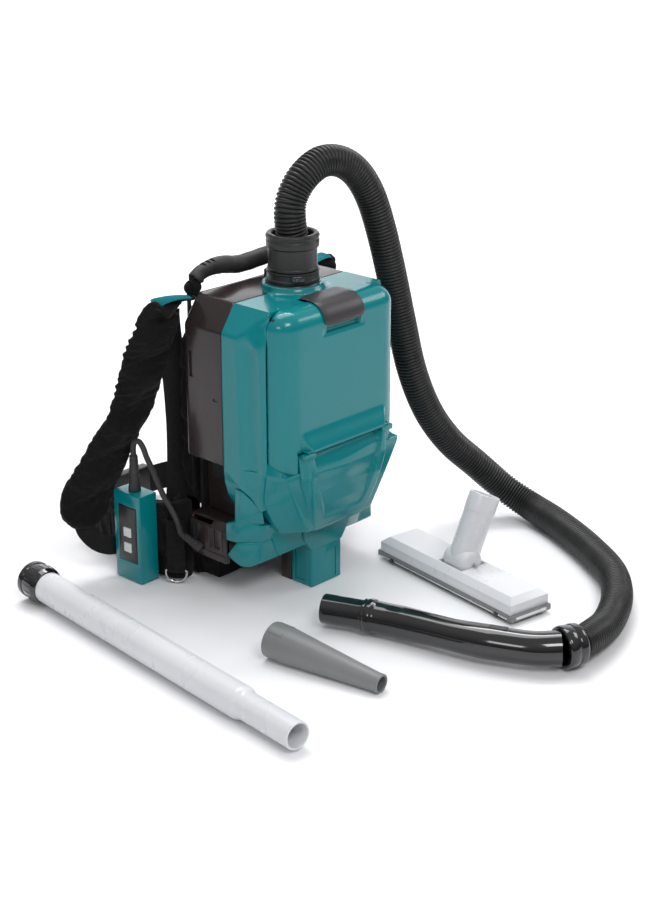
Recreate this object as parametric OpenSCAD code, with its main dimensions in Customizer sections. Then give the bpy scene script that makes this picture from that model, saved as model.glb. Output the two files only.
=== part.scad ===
// Backpack vacuum cleaner: hard body on a central foot, fabric harness, hose, wand and loose tools.
// Millimetres. +Z is up, -Y is the front cover side, +Y is the wearer's back.
// The origin is the centre of the central foot's bottom face, on the floor.

/* [Body] */
// Overall width of the hard body
body_w = 230; // [226:1:232]
// Height of the flat top above the floor
body_top = 363; // [362:0.5:364]
// Wall thickness of the moulded housings
wall = 2.6; // [2.2:0.1:3]

/* [Front cover] */
// Opening angle that the cover is drawn at
cover_angle = 0; // [0:5:100]
// Width of the front cover
cover_w = 198; // [196:1:199]
// Lift angle that the latch is drawn at
latch_angle = 0; // [0:5:30]

/* [Hose] */
// Outside diameter of the ribbed hose
hose_d = 38; // [34:1:38]

/* [Tools] */
// Outside diameter of the extension pipe
pipe_d = 38; // [37:0.5:39]
// Length of the extension pipe
pipe_length = 490; // [470:5:500]
// Length of the crevice nozzle
crevice_length = 150; // [140:2:156]
// Length of the floor nozzle's head
head_length = 247; // [240:1:250]

/* [Hidden] */
$fn = 64;
half_w = body_w / 2;
back_y = 96;
split_y = 32;
front_y = -54;
seam_y = -26;
cover_bottom = 168.5;
cover_half = cover_w / 2;
cover_corner_r = 28;
cover_top_r = 22;
hinge_y = -62;
hinge_z = 193.5;
latch_half = 34;
latch_y = -20.5;
latch_z = 361.6;
neck_y = 28;
neck_r = 28.5;
foot_half = 26;
bay_in = 30;
bay_out = 107;
bay_front = -6;
bay_back = 58;
bay_roof = 88;
deck_z = 88;
screw_r = 1.9;
teal = [0.0, 0.42, 0.45];
dark = [0.13, 0.11, 0.11];
grey = [0.27, 0.26, 0.27];
black = [0.05, 0.05, 0.05];
white = [0.92, 0.92, 0.93];

// ---- helpers ----

function arc_points(c, r, from, to, steps) =
    [for (i = [0:steps]) c + r * [cos(from + (to - from) * i / steps), sin(from + (to - from) * i / steps)]];
function unit(v) = v / norm(v);
function spline_point(a, b, c, d, t) =
    0.5 * (2 * b + (c - a) * t + (2 * a - 5 * b + 4 * c - d) * t * t + (3 * b - a - 3 * c + d) * t * t * t);
// A smooth curve through every point of a route, with a few steps between two points
function smooth(route, steps) = let (last = len(route) - 1)
    concat([for (i = [0:last - 1], s = [0:steps - 1])
        spline_point(route[max(i - 1, 0)], route[i], route[i + 1], route[min(i + 2, last)], s / steps)],
        [route[last]]);
function tangents(line) = let (last = len(line) - 1)
    [for (i = [0:last]) unit(line[min(i + 1, last)] - line[max(i - 1, 0)])];
// Side directions carried along a curve so that the section never twists
function carried(tan, start) =
    [for (i = 0, u = unit(start - (start * tan[0]) * tan[0]); i < len(tan);
        i = i + 1, u = i < len(tan) ? unit(u - (u * tan[i]) * tan[i]) : u) u];

// Closed tube along a curve, one ring of sides at each point
module tube(line, radii, sides, start) {
    tan = tangents(line);
    side = carried(tan, start);
    n = len(line);
    points = [for (i = [0:n - 1], k = [0:sides - 1]) let (up = cross(tan[i], side[i]), a = 360 * k / sides)
        line[i] + radii[i] * (cos(a) * side[i] + sin(a) * up)];
    walls = [for (i = [0:n - 2], k = [0:sides - 1]) let (m = (k + 1) % sides)
        [i * sides + k, i * sides + m, (i + 1) * sides + m, (i + 1) * sides + k]];
    first = [for (k = [sides - 1:-1:0]) k];
    last = [for (k = [0:sides - 1]) (n - 1) * sides + k];
    polyhedron(concat(points), concat(walls, [first, last]), convexity = 8);
}

// Closed flat strap along a curve: half widths along `wide`, half thickness across it
module ribbon(line, half_widths, half_thick, wide) {
    tan = tangents(line);
    n = len(line);
    points = [for (i = [0:n - 1]) let (w = unit(wide - (wide * tan[i]) * tan[i]), t = cross(tan[i], w))
        for (c = [[1, 1], [-1, 1], [-1, -1], [1, -1]])
            line[i] + c[0] * half_widths[i] * w + c[1] * half_thick * t];
    walls = [for (i = [0:n - 2], k = [0:3]) let (m = (k + 1) % 4, a = i * 4)
        for (face = [[a + k, a + m, a + 4 + m], [a + k, a + 4 + m, a + 4 + k]]) face];
    polyhedron(points, concat(walls, [[3, 2, 1, 0], [n * 4 - 4, n * 4 - 3, n * 4 - 2, n * 4 - 1]]),
        convexity = 6);
}

module box(low, high) translate(low) cube(high - low);
module both_sides() { children(); mirror([1, 0, 0]) children(); }
// Extrude an X-Z outline along Y, and a Y-Z outline along X
module along_y(y0, y1) translate([0, y1, 0]) rotate([90, 0, 0]) linear_extrude(y1 - y0) children();
module along_x(half) translate([-half, 0, 0]) rotate([90, 0, 90]) linear_extrude(2 * half) children();
module pin_x(r, x0, x1, y, z) translate([x0, y, z]) rotate([0, 90, 0]) cylinder(r = r, h = x1 - x0);

// ---- body outlines, each drawn in by t ----

// Front view of the upper body, with its chamfered top corners
module upper_front_view(t, bottom) polygon([[-half_w + t, bottom], [-half_w + t, 331 - 0.3 * t],
    [-half_w + 22 + 0.5 * t, body_top - t], [half_w - 22 - 0.5 * t, body_top - t],
    [half_w - t, 331 - 0.3 * t], [half_w - t, bottom]]);
// Plan of the upper body from the back to the cover seam
module ring_plan(t) polygon([[-half_w + t, 100], [-half_w + t, 8], [-half_w + 10 + t, seam_y - 1],
    [half_w - 10 - t, seam_y - 1], [half_w - t, 8], [half_w - t, 100]]);
// Side view of the upper ring, its lower edge dropping toward the front
module ring_side(t) polygon([[split_y, 168 + t], [3, 147 + t], [seam_y, 126 + t], [seam_y, 400], [split_y, 400]]);

// ---- hard body ----

module rear_housing() color(dark) difference() {
    union() {
        along_y(split_y, back_y) upper_front_view(0, 168);
        box([-84, split_y, 92.2], [84, back_y, 170]);
    }
    along_y(split_y - 1, back_y - wall) upper_front_view(wall, 168 + wall);
    box([-84 + wall, split_y - 1, 92], [84 - wall, back_y - wall, 175]);
    translate([0, neck_y, 340]) cylinder(r = 36, h = 40);
    both_sides() box([-half_w - 1, 80, 268], [-half_w + 1.6, 86, 300]);
    at_screws() translate([0, 0, 2]) cylinder(r = screw_r + 0.05, h = 10);
}

// Front view of the lower shell, and its plan, each drawn in by t
module lower_front_view(t, top) polygon([[-112.3 + t, top], [-112.3 + t, 160], [-107 + t, 134], [-66 + t, deck_z + t],
    [66 - t, deck_z + t], [107 - t, 134], [112.3 - t, 160], [112.3 - t, top]]);
module lower_plan(t, back) polygon([[-112.3 + t, back], [-112.3 + t, 8], [-102.3 + t, seam_y],
    [-97 + t, front_y + t], [97 - t, front_y + t], [102.3 - t, seam_y], [112.3 - t, 8], [112.3 - t, back]]);

// Tapered lower body under the cover, reaching back to a given plane
module lower_shape(t, back, top) intersection() {
    along_y(-70, back) lower_front_view(t, top);
    linear_extrude(400) lower_plan(t, back);
    along_x(120) polygon([[back, 80], [back, 175], [front_y + t, 175], [front_y + t, 160],
        [-52 + t, 120], [-44 + t, deck_z + t]]);
}
// Raised middle panel that carries the cover's hinge
module middle_panel(t) intersection() {
    along_y(-70, 0) polygon([[-76.3 + t, 191 - t], [-74 + t, 160], [-55 + t, 90 + t], [55 - t, 90 + t],
        [74 - t, 160], [76.3 - t, 191 - t]]);
    along_x(120) polygon([[-10, 80], [-10, 150], [-44, 191], [-60 + t, 191], [-63 + t, 165], [-57 + t, 120],
        [-46 + t, 85]]);
}

// Side wing that shelters a battery bay
module wing_block() intersection() {
    linear_extrude(96.2) polygon([[foot_half, split_y], [foot_half, -12], [100, -10.5], [110, -7.5], [113, 2],
        [113, split_y]]);
    along_y(-20, 40) polygon([[foot_half, 54], [90, 48], [113, 42], [113, 90], [104, 96], [foot_half, 96]]);
}

module battery_bay() box([bay_in, bay_front, 30], [bay_out, bay_back, bay_roof]);

// Upper ring between the rear housing and the cover
module front_housing() color(teal) difference() {
    union() {
        difference() {
            intersection() {
                linear_extrude(400) ring_plan(0);
                along_y(seam_y, split_y) upper_front_view(0, 120);
                along_x(130) ring_side(0);
            }
            intersection() {
                linear_extrude(400) ring_plan(wall);
                along_y(seam_y - 1, split_y + 1) upper_front_view(wall, 110);
            }
        }
        // Raised base around the hose neck
        translate([0, neck_y, body_top - wall]) cylinder(r = 36, h = 6 + wall);
    }
    translate([0, neck_y, 340]) cylinder(r = 26.2, h = 60);
    box([-latch_half - 4, seam_y - 1, 355], [latch_half + 4, -11.8, 370]);
}

module lower_housing() color(teal) difference() {
    union() {
        difference() {
            union() {
                lower_shape(0, split_y, 167.2);
                middle_panel(0);
            }
            lower_shape(wall, split_y - wall, 180);
            middle_panel(wall);
            // Way through to the rear housing
            intersection() {
                lower_shape(wall, split_y + 1, 180);
                box([-81.4, 0, 92.2], [81.4, split_y + 1, 180]);
            }
        }
        both_sides() wing_block();
        // Foot
        box([-foot_half, -foot_half, 0], [foot_half, 9, 92]);
        // Ears for the cover's hinge pin
        both_sides() for (x = [58, 72]) hull() {
            pin_x(2.3, x, x + 4, hinge_y, hinge_z);
            box([x, -59.5, 185], [x + 4, -57, 186]);
        }
    }
    both_sides() battery_bay();
    box([-foot_half + wall, -foot_half + wall, 3], [foot_half - wall, 24, 125]);
    both_sides() box([bay_in - 4, -5.9, deck_z + wall], [60, split_y + 1, 110]);
    pin_x(1.25, -80, 80, hinge_y, hinge_z);
}

module battery_housing() color(dark) difference() {
    union() {
        along_y(split_y, back_y) polygon([[-113, 42], [-113, 82], [-105, 92], [105, 92], [113, 82], [113, 42]]);
        box([-foot_half, 9, 0], [foot_half, foot_half, deck_z]);
        box([-foot_half, 20, 42], [foot_half, 40, deck_z]);
    }
    both_sides() battery_bay();
    box([-foot_half + wall, -10, 3], [foot_half - wall, foot_half - wall, 100]);
    box([-110, bay_back + wall, 45], [110, back_y - wall, 89.4]);
    // Side recess beside the terminals
    both_sides() box([-114, 44, 58], [-109.5, 54, 82]);
}

module battery_terminal() color(black) {
    box([48, 28, 76], [90, bay_back, bay_roof]);
    for (x = [42, 92]) box([x, 4, 80], [x + 4, bay_back, bay_roof]);
    box([46, 28, 84], [92, 40, bay_roof]);
}
module battery_terminals() both_sides() battery_terminal();

// ---- fan unit inside the body ----

module motor() color("silver") {
    translate([0, 0, 60]) cylinder(r = 22, h = 58);
    translate([0, 0, 54]) cylinder(r = 5, h = 6);
}
module fan_housing() color(grey) difference() {
    translate([0, 0, 118]) cylinder(r = 46, h = 41);
    translate([0, 0, 122]) cylinder(r = 43, h = 34);
    translate([0, 0, 110]) cylinder(r = 6, h = 20);
    translate([0, 0, 150]) cylinder(r = 18, h = 20);
}
module impeller() color("dimgray") {
    translate([0, 0, 124]) cylinder(r = 40, h = 2);
    for (i = [0:6]) rotate([0, 0, i * 360 / 7]) box([14, -1, 126], [39, 1, 148]);
    difference() {
        translate([0, 0, 148]) cylinder(r = 40, h = 1.5);
        translate([0, 0, 147]) cylinder(r = 18, h = 4);
    }
    translate([0, 0, 118.2]) cylinder(r = 5, h = 12);
}
module control_board() color("darkgreen") {
    box([-60, 64, 98], [60, 65.6, 156]);
    for (x = [-44, -20, 4, 28]) box([x, 65.6, 106], [x + 14, 72, 120]);
}
module exhaust_foam() color("gray") box([-74, 76, 98], [74, 90, 160]);
module filter_deck() color(dark) difference() {
    box([-80, -24, 160], [80, 93, 167]);
    translate([0, 0, 150]) cylinder(r = 20, h = 30);
}
module pre_filter() color("whitesmoke") box([-64, -23, 167], [64, 29, 186]);
module dust_bag() color("wheat") hull() {
    box([-84, -18, 200], [84, 80, 326]);
    box([-72, -14, 190], [72, 72, 338]);
}
module bag_collar() color("tan") difference() {
    box([-46, -14, 338], [46, 72, 341]);
    translate([0, neck_y, 330]) cylinder(r = 19, h = 20);
}
module at_screws() for (x = [-100, 100], z = [190, 310]) translate([x, 90, z]) rotate([-90, 0, 0]) children();
module housing_screws() color("silver") at_screws() {
    cylinder(r = screw_r, h = 7);
    translate([0, 0, 6]) cylinder(r = 3.6, h = 2);
}

// ---- front cover ----

module cover_plan(t) polygon(concat([[cover_half - t, seam_y + 2 * t]],
    arc_points([cover_half - cover_corner_r, seam_y], cover_corner_r - t, 0, -90, 8),
    arc_points([-cover_half + cover_corner_r, seam_y], cover_corner_r - t, -90, -180, 8),
    [[-cover_half + t, seam_y + 2 * t]]));
module cover_side(t) polygon(concat([[seam_y + 2 * t, cover_bottom + t], [seam_y + 2 * t, body_top - t]],
    arc_points([front_y + cover_top_r, body_top - cover_top_r], cover_top_r - t, 90, 180, 8),
    [[front_y + t, cover_bottom + t]]));

module front_cover() color(teal)
translate([0, hinge_y, hinge_z]) rotate([cover_angle, 0, 0]) translate([0, -hinge_y, -hinge_z])
difference() {
    union() {
        difference() {
            intersection() {
                linear_extrude(400) cover_plan(0);
                along_x(120) cover_side(0);
            }
            intersection() {
                linear_extrude(400) cover_plan(wall);
                along_x(120) cover_side(wall);
            }
            box([-77.3, -70, 160], [77.3, -20, 196.5]);
        }
        // Lip over the middle panel
        along_x(76)
            polygon([[front_y + 1, 218], [-64.5, 200], [-64.5, 196.5], [-50, 196.5], [-50, 200], [-51.4, 218]]);
        // Hinge lugs
        both_sides() for (x = [64.2]) hull() {
            pin_x(2.2, x, x + 5.6, hinge_y, hinge_z);
            box([x, -64, 196.6], [x + 5.6, -60, 198]);
        }
        // Inner pocket wall and ears of the latch
        box([-31, front_y + 1, 329], [31, -46, 345]);
        box([-31, -50.9, 344], [31, -46, 352]);
        both_sides() box([34.4, -30, body_top - wall], [37.4, -17.8, body_top]);
        both_sides() pin_x(2.2, 34.4, 37.4, latch_y, 360.9);
    }
    box([-28, front_y - 1, 333], [28, -49.5, 349]);
    pin_x(1.25, -80, 80, hinge_y, hinge_z);
    pin_x(1.02, -50, 50, latch_y, latch_z);
}
module cover_gasket() color(black) difference() {
    box([-94, -32, 200], [94, -29, 356]);
    box([-91, -33, 203], [91, -28, 353]);
    box([-36, -33, 350], [36, -28, 360]);
}
module cover_hinge_pin() color("silver") both_sides() pin_x(1.2, 58, 76, hinge_y, hinge_z);

module latch() color(grey)
translate([0, latch_y, latch_z]) rotate([-latch_angle, 0, 0]) translate([0, -latch_y, -latch_z]) difference() {
    centre = [front_y + cover_top_r, body_top - cover_top_r];
    union() {
        along_x(latch_half) polygon(concat([[-14, body_top + 3.3], [-14, body_top + 0.4]],
            arc_points(centre, cover_top_r + 0.4, 90, 180, 8),
            [[front_y - 3.3, 341]],
            arc_points(centre, cover_top_r + 3.3, 178, 90, 8)));
        pin_x(1.9, -latch_half, latch_half, latch_y, latch_z);
        box([-latch_half, -22, 362], [latch_half, -19, 364]);
    }
    pin_x(1.06, -50, 50, latch_y, latch_z);
}
module latch_pin() color("silver") pin_x(1, -37.4, 37.4, latch_y, latch_z);

// ---- hose neck ----

module ring_z(outer, inner, z0, z1) difference() {
    translate([0, neck_y, z0]) cylinder(r = outer, h = z1 - z0);
    translate([0, neck_y, z0 - 1]) cylinder(r = inner, h = z1 - z0 + 2);
}
module inlet_flange() color(dark) {
    ring_z(26, 18.5, 342, 372);
    ring_z(33, 20, 369, 372.5);
}
module lock_ring() color(black) {
    ring_z(32, neck_r + 0.08, 372.8, 386);
    for (a = [20, 140, 260]) translate([0, neck_y, 375]) rotate([0, 0, a]) box([31, -6, 0], [34.5, 6, 8]);
}
module hose_sleeve() color(black) {
    ring_z(neck_r, 23.5, 372.5, 414);
    ring_z(31.5, 23.5, 414, 430);
    ring_z(24, 12, 396, 402);
    ring_z(30, neck_r - 1, 387, 390);
}

hose_route = [[0, 28, 402], [0, 28, 420], [-3, 28, 438], [-4, 28, 456], [2, 28, 474], [18, 26, 493], [44, 24, 505],
    [72, 20, 502], [97, 16, 485], [117, 12, 455], [134, 9, 410], [152, 7, 350], [168, 5, 290], [187, 2, 221],
    [214, -3, 161], [247, -13, 113], [281, -31, 76], [306, -56, 44], [318, -92, 24], [310, -130, 20],
    [293, -172, 19.5], [264, -228, 19.5], [223, -290, 19.5], [170, -335, 19.5], [108, -366, 20], [60, -378, 24],
    [30, -380, 25.5]];
module hose() color(black) let (line = smooth(hose_route, 3))
    tube(line, [for (p = line) hose_d / 2], 10, [1, 0, 0]);

// ---- wand ----

wand_route = [[30, -380, 25.5], [8, -372, 25.5], [-12, -350, 25], [-30, -312, 25], [-43, -270, 24],
    [-51, -229, 23], [-59, -190, 22], [-70, -156, 22]];
wand_tip_at = [-70, -156, 22];
wand_tip_turn = 112.5;
module hose_cuff() color(black) let (line = smooth([wand_route[0], [20, -377.6, 25.5], wand_route[1]], 2))
    tube(line, [for (p = line) 25], 24, [0, 0, 1]);
module wand_body() color(black) let (line = smooth([for (i = [1:7]) wand_route[i]], 2), n = len(line) - 1)
    tube(line, [for (i = [0:n]) 21 - 2 * sin(180 * i / n)], 20, [0, 0, 1]);
module wand_tip() color(black)
translate(wand_tip_at) rotate([0, 0, wand_tip_turn]) rotate([0, 90, 0]) difference() {
    union() {
        cylinder(r = 17.5, h = 54);
        cylinder(r = 19.5, h = 4);
    }
    translate([0, 0, 2]) cylinder(r = 15, h = 60);
}

// ---- grab handle ----

handle_y = 104;
handle_z = 366;
// Soft grip that leans back from the neck and sags in the middle
grip_half = [[84.5, handle_y, 375.5], [79, 105, 378.5], [59, 108, 381], [34, 114, 381.5]];
module handle_grip() color(grey) let (line = smooth(concat([for (p = grip_half) [-p[0], p[1], p[2]]],
        [[0, 119, 377.5]], [for (i = [3:-1:0]) grip_half[i]]), 3))
    tube(line, [for (p = line) 9], 14, [0, 1, 0]);
// Sewn end loops of the grip, turning on the webbing
module handle_loops() color(black) both_sides() difference() {
    union() {
        pin_x(5, 85.5, 94, handle_y, handle_z);
        along_y(handle_y - 4, handle_y + 4)
            polygon([[85.5, handle_z], [92, handle_z], [92, 382], [88, 382], [85.5, 377.8]]);
    }
    pin_x(2.1, 80, 110, handle_y, handle_z);
}
module handle_brackets() color(black) both_sides() {
    pin_x(2, 81.6, 97, handle_y, handle_z);
    for (x = [81.6, 94.5]) box([x, handle_y - 2.4, 330], [x + 2.5, handle_y + 2.4, handle_z + 2.4]);
    box([81.6, handle_y - 2.4, 330], [97, handle_y + 2.4, 344]);
}

// ---- harness ----

strap_route = [[121, 99, 349], [127, 110, 349], [136, 123, 329], [144, 138, 284], [148, 158, 226],
    [166, 180, 164], [186, 196, 110], [194, 202, 66]];
strap_half = [23, 29, 31, 31, 31, 33, 36, 34];
strap_crown = 359.4;
module harness_frame() color(dark) box([-88, 96.2, 84], [88, 101, 350]);
module back_pad() color(black) difference() {
    hull() {
        box([-96.5, 101.3, 104], [96.5, 127, 292]);
        box([-78, 101.3, 84], [78, 119, 345]);
    }
    // Clearance around the handle brackets
    both_sides() box([80.4, 100, 327], [100, 107.6, 350]);
}
module lumbar_pad() color(black) {
    box([-96, 104, 0], [96, 122, 82]);
    box([-86, 74, 0], [86, 105, 36]);
}
module shoulder_strap() difference() {
    ribbon(smooth(strap_route, 2),
        [for (i = [0:2 * (len(strap_route) - 1)]) let (a = floor(i / 2), b = min(a + 1, len(strap_route) - 1))
            strap_half[a] + (strap_half[b] - strap_half[a]) * (i / 2 - a)], 9, [1, 0.25, 0]);
    // Flat crown under the coloured patch
    box([80, 70, strap_crown], [180, 150, strap_crown + 40]);
}
module right_shoulder_strap() color(black) shoulder_strap();
module left_shoulder_strap() color(black) mirror([1, 0, 0]) shoulder_strap();
module strap_cap() box([106, 98, strap_crown], [150, 114, strap_crown + 2.6]);
module right_strap_cap() color(teal) strap_cap();
module left_strap_cap() color(teal) mirror([1, 0, 0]) strap_cap();
webbing_route = [[184, 195, 51], [176, 192, 44], [160, 187, 36], [146, 184, 37], [136, 183, 40]];
module strap_webbing() ribbon(webbing_route, [12, 12, 12, 12, 12], 1.2, [0, 0, 1]);
module right_strap_webbing() color(black) strap_webbing();
module left_strap_webbing() color(black) mirror([1, 0, 0]) strap_webbing();
belt_route = [[100.5, 112.5, 52], [112, 107, 52], [122, 116, 52], [124, 138, 50], [124, 176, 46],
    [118, 220, 42], [110, 262, 38], [100, 290, 34]];
module belt_wing() let (line = smooth(belt_route, 2)) ribbon(line, [for (p = line) p[2] - 0.5], 8, [0, 0, 1]);
module right_belt_wing() color(black) belt_wing();
module left_belt_wing() color(black) mirror([1, 0, 0]) belt_wing();
module belt_webbing() color(black) both_sides()
    ribbon(smooth([[96, 298, 32], [86, 316, 29], [60, 331, 27], [32, 336, 26]], 2),
        [for (i = [0:6]) 19], 1.2, [0, 0, 1]);
module belt_buckle() color(black) box([-31.5, 329, 2.5], [31.5, 343, 49.5]);
// Webbing tab on the left wing, and the ring that hangs from it
ring_at = [-128.7, 104.2, 17.5];
ring_turn = 37;
ring_r = 13;
wire_r = 1.4;
module at_ring() translate(ring_at) rotate([0, 0, ring_turn]) children();
module along_ring(r, h) translate([0, h / 2, 0]) rotate([90, 0, 0]) cylinder(r = r, h = h);
module ring_tab() color(black) at_ring() difference() {
    union() {
        box([-1.2, -11, 0], [1.2, 11, 66]);
        along_ring(2.8, 22);
    }
    along_ring(wire_r + 0.07, 30);
}
module d_ring() color("silver") at_ring() {
    along_ring(wire_r, 2 * ring_r);
    for (y = [-ring_r, ring_r]) translate([0, y, -2]) cylinder(r = wire_r, h = 2);
    translate([0, 0, -2]) rotate([-90, 0, 90]) rotate_extrude(angle = 180)
        translate([ring_r, 0]) circle(r = wire_r);
}

// ---- remote control ----

remote_low = [-162, 130, 1];
remote_size = [28, 46, 114];
module remote_case() color(teal) difference() {
    translate(remote_low) cube(remote_size);
    box([-163, 137, 26], [-159.4, 169, 98]);
}
module remote_panel() color(black) difference() {
    box([-162.2, 137.3, 26.3], [-159.4, 168.7, 97.7]);
    for (z = [38, 58]) box([-164, 146.8, z - 0.2], [-158, 160.2, z + 12.2]);
}
module remote_button(z) color(white) box([-163, 147, z], [-160.5, 160, z + 12]);
module power_button() remote_button(38);
module mode_button() remote_button(58);
module remote_boot() color(black) translate([-148, 153, 115]) cylinder(r1 = 8, r2 = 5, h = 46);
cable_route = [[-148, 153, 161], [-148, 153, 170], [-148, 150, 178], [-147, 143, 180], [-146, 137, 173],
    [-144, 134, 162], [-140.5, 129, 147], [-137, 123, 129], [-134, 115, 111], [-134, 104, 100], [-133.5, 96, 89],
    [-133, 92, 79.5], [-131.6, 90.5, 71.5], [-128.6, 88.2, 68.2]];
module remote_cable() color(black) let (line = smooth(cable_route, 2))
    tube(line, [for (p = line) 3.5], 8, [1, 0, 0]);

// Strain relief where the cable enters the battery housing, cut flush with its side
gland_length = 26;
module cable_gland() color(black) difference() {
    translate([-128.6, 88.2, 68.2]) rotate([0, 0, -36.9]) rotate([0, 131.3, 0])
        cylinder(r1 = 4.4, r2 = 6.3, h = gland_length + 8);
    box([-113, 40, 10], [-80, 120, 110]);
}

// ---- loose tools ----

module at_pipe() translate([-270, 200, 23]) rotate([0, 0, -96.1]) rotate([0, 90.5, 0]) children();
male_length = 88;
module pipe_tube() color(white) at_pipe() difference() {
    union() {
        translate([0, 0, 18]) cylinder(d = pipe_d, h = pipe_length - 18 - male_length);
        cylinder(d = pipe_d, h = 20);
        translate([0, 0, pipe_length - male_length - 10]) cylinder(r1 = pipe_d / 2, r2 = 16.5, h = 18);
        translate([0, 0, pipe_length - male_length]) cylinder(r = 16, h = male_length);
    }
    translate([0, 0, 60]) cylinder(r = 14.2, h = pipe_length);
    translate([0, 0, -1]) cylinder(r = 17.6, h = 62);
}
module pipe_collar() color(black) at_pipe() difference() {
    translate([0, 0, -4]) cylinder(r = 22.5, h = 34);
    translate([0, 0, 0]) cylinder(d = pipe_d, h = 40);
    translate([0, 0, -6]) cylinder(r = 17.6, h = 20);
}
module crevice_nozzle() color(grey)
translate([-187, -117, 21.2]) rotate([0, 0, -83]) rotate([0, 94, 0]) difference() {
    union() {
        cylinder(r = 21, h = 26);
        translate([0, 0, 26]) cylinder(r1 = 21, r2 = 10.5, h = crevice_length - 26);
    }
    translate([0, 0, -1]) cylinder(r = 17.6, h = 41);
    translate([0, 0, 36]) cylinder(r1 = 17.6, r2 = 8.6, h = crevice_length - 36 + 0.1);
}
module at_head() translate([106, -152, 0]) rotate([0, 0, -9.5]) children();
head_half = head_length / 2;
neck_z = 34;
module head_shell() color(white) at_head() difference() {
    hull() {
        box([-30, -head_half + 4, 12], [30, head_half - 4, 24]);
        box([-22, -head_half + 12, 12], [22, head_half - 12, 31]);
    }
    box([-28, -head_half + 8, 11], [28, head_half - 8, 20]);
    pin_neck_space();
    translate([0, 0, 10]) cylinder(r = 15, h = 40);
}
// Room for the neck's hinge and for the neck when it leans further back
module pin_neck_space() {
    translate([0, 21.5, neck_z]) rotate([90, 0, 0]) cylinder(r = 20, h = 43);
    translate([0, 0, neck_z]) rotate([0, 44, 0]) cylinder(r = 20, h = 40);
}
module head_sole() color(grey) at_head() difference() {
    box([-31, -head_half, 5], [31, head_half, 12]);
    box([-20, -head_half + 10, 4], [20, head_half - 10, 9]);
    translate([0, 0, 0]) cylinder(r = 15, h = 20);
}
module head_brushes() color("dimgray") at_head() for (x = [-26, 23])
    box([x, -head_half + 14, 0], [x + 3, head_half - 14, 5]);
module nozzle_neck() color(white) at_head() difference() {
    union() {
        translate([0, 21, neck_z]) rotate([90, 0, 0]) cylinder(r = 18, h = 42);
        translate([0, 0, neck_z]) rotate([0, 24, 0]) cylinder(r = 19, h = 84);
    }
    translate([0, 0, neck_z]) rotate([0, 24, 0]) translate([0, 0, 44]) cylinder(r = 16.6, h = 50);
    translate([0, 0, neck_z]) rotate([0, 24, 0]) cylinder(r = 13, h = 60);
    translate([0, 0, neck_z]) sphere(r = 13);
    translate([0, 0, neck_z - 20]) cylinder(r = 11, h = 20);
    translate([0, 30, neck_z]) rotate([90, 0, 0]) cylinder(r = 2.06, h = 60);
}
module neck_pin() color("silver") at_head() for (y = [-27, 14]) translate([0, y + 13, neck_z])
    rotate([90, 0, 0]) cylinder(r = 2, h = 13);

rear_housing();
front_housing();
lower_housing();
battery_housing();
battery_terminals();
motor();
fan_housing();
impeller();
control_board();
exhaust_foam();
filter_deck();
pre_filter();
dust_bag();
bag_collar();
housing_screws();
front_cover();
cover_gasket();
cover_hinge_pin();
latch();
latch_pin();
inlet_flange();
lock_ring();
hose_sleeve();
hose();
hose_cuff();
wand_body();
wand_tip();
handle_grip();
handle_loops();
handle_brackets();
harness_frame();
back_pad();
lumbar_pad();
left_shoulder_strap();
right_shoulder_strap();
left_strap_cap();
right_strap_cap();
left_strap_webbing();
right_strap_webbing();
left_belt_wing();
right_belt_wing();
belt_webbing();
belt_buckle();
ring_tab();
d_ring();
remote_case();
remote_panel();
power_button();
mode_button();
remote_boot();
remote_cable();
cable_gland();
pipe_tube();
pipe_collar();
crevice_nozzle();
head_shell();
head_sole();
head_brushes();
nozzle_neck();
neck_pin();
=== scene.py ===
"""Looks for the backpack vacuum cleaner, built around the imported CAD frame."""

import math
from contextlib import contextmanager

import bmesh
import bpy
from mathutils import Matrix, Vector, noise


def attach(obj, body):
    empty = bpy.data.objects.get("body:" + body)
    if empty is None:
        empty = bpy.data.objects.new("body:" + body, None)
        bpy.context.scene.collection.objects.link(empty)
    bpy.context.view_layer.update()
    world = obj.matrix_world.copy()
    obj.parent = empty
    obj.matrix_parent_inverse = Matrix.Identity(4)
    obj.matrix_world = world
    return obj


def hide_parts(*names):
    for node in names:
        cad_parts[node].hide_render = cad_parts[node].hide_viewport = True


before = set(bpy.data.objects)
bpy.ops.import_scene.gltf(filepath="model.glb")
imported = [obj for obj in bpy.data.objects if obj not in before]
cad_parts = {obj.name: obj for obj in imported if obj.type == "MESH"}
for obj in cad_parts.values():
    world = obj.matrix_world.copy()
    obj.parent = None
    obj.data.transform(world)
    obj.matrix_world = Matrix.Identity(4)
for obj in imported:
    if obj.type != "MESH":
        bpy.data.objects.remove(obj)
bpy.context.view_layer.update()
MM = 0.001


def mm(*values):
    """A point given in millimetres, as metres."""
    return Vector(values) * MM


# ---------------------------------------------------------------- camera, floor and light

CAMERA_AT = mm(-1543.3, -1469.9, 977.3)
CAMERA_YAW = math.radians(47.015)
CAMERA_PITCH = math.radians(20.85)
CAMERA_LENS = 75.95
SENSOR_WIDTH = 36
FAR_CLIP = 50

CENTRE = (0.03, -0.08, 0.2)
LIGHTS = (  # name, watts, then place, target and width in metres
    ("key", 23, (-0.9, -1.9, 2.1), CENTRE, 1.0),
    ("fill", 9, (-2.6, -0.8, 1.5), CENTRE, 0.8),
    ("side", 10, (1.9, -1.0, 1.5), CENTRE, 1.0),
    ("top", 27, (0.3, 0.6, 2.6), CENTRE, 1.8),
    ("wall", 120, (1.2, 1.1, 3.2), (3.2, 3.0, 0.6), 2.5),
)
SKY_STRENGTH = 0.52
SKY_LOW = (0.16, 0.16, 0.17, 1)
SKY_HIGH = (1.0, 1.0, 1.0, 1)


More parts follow.
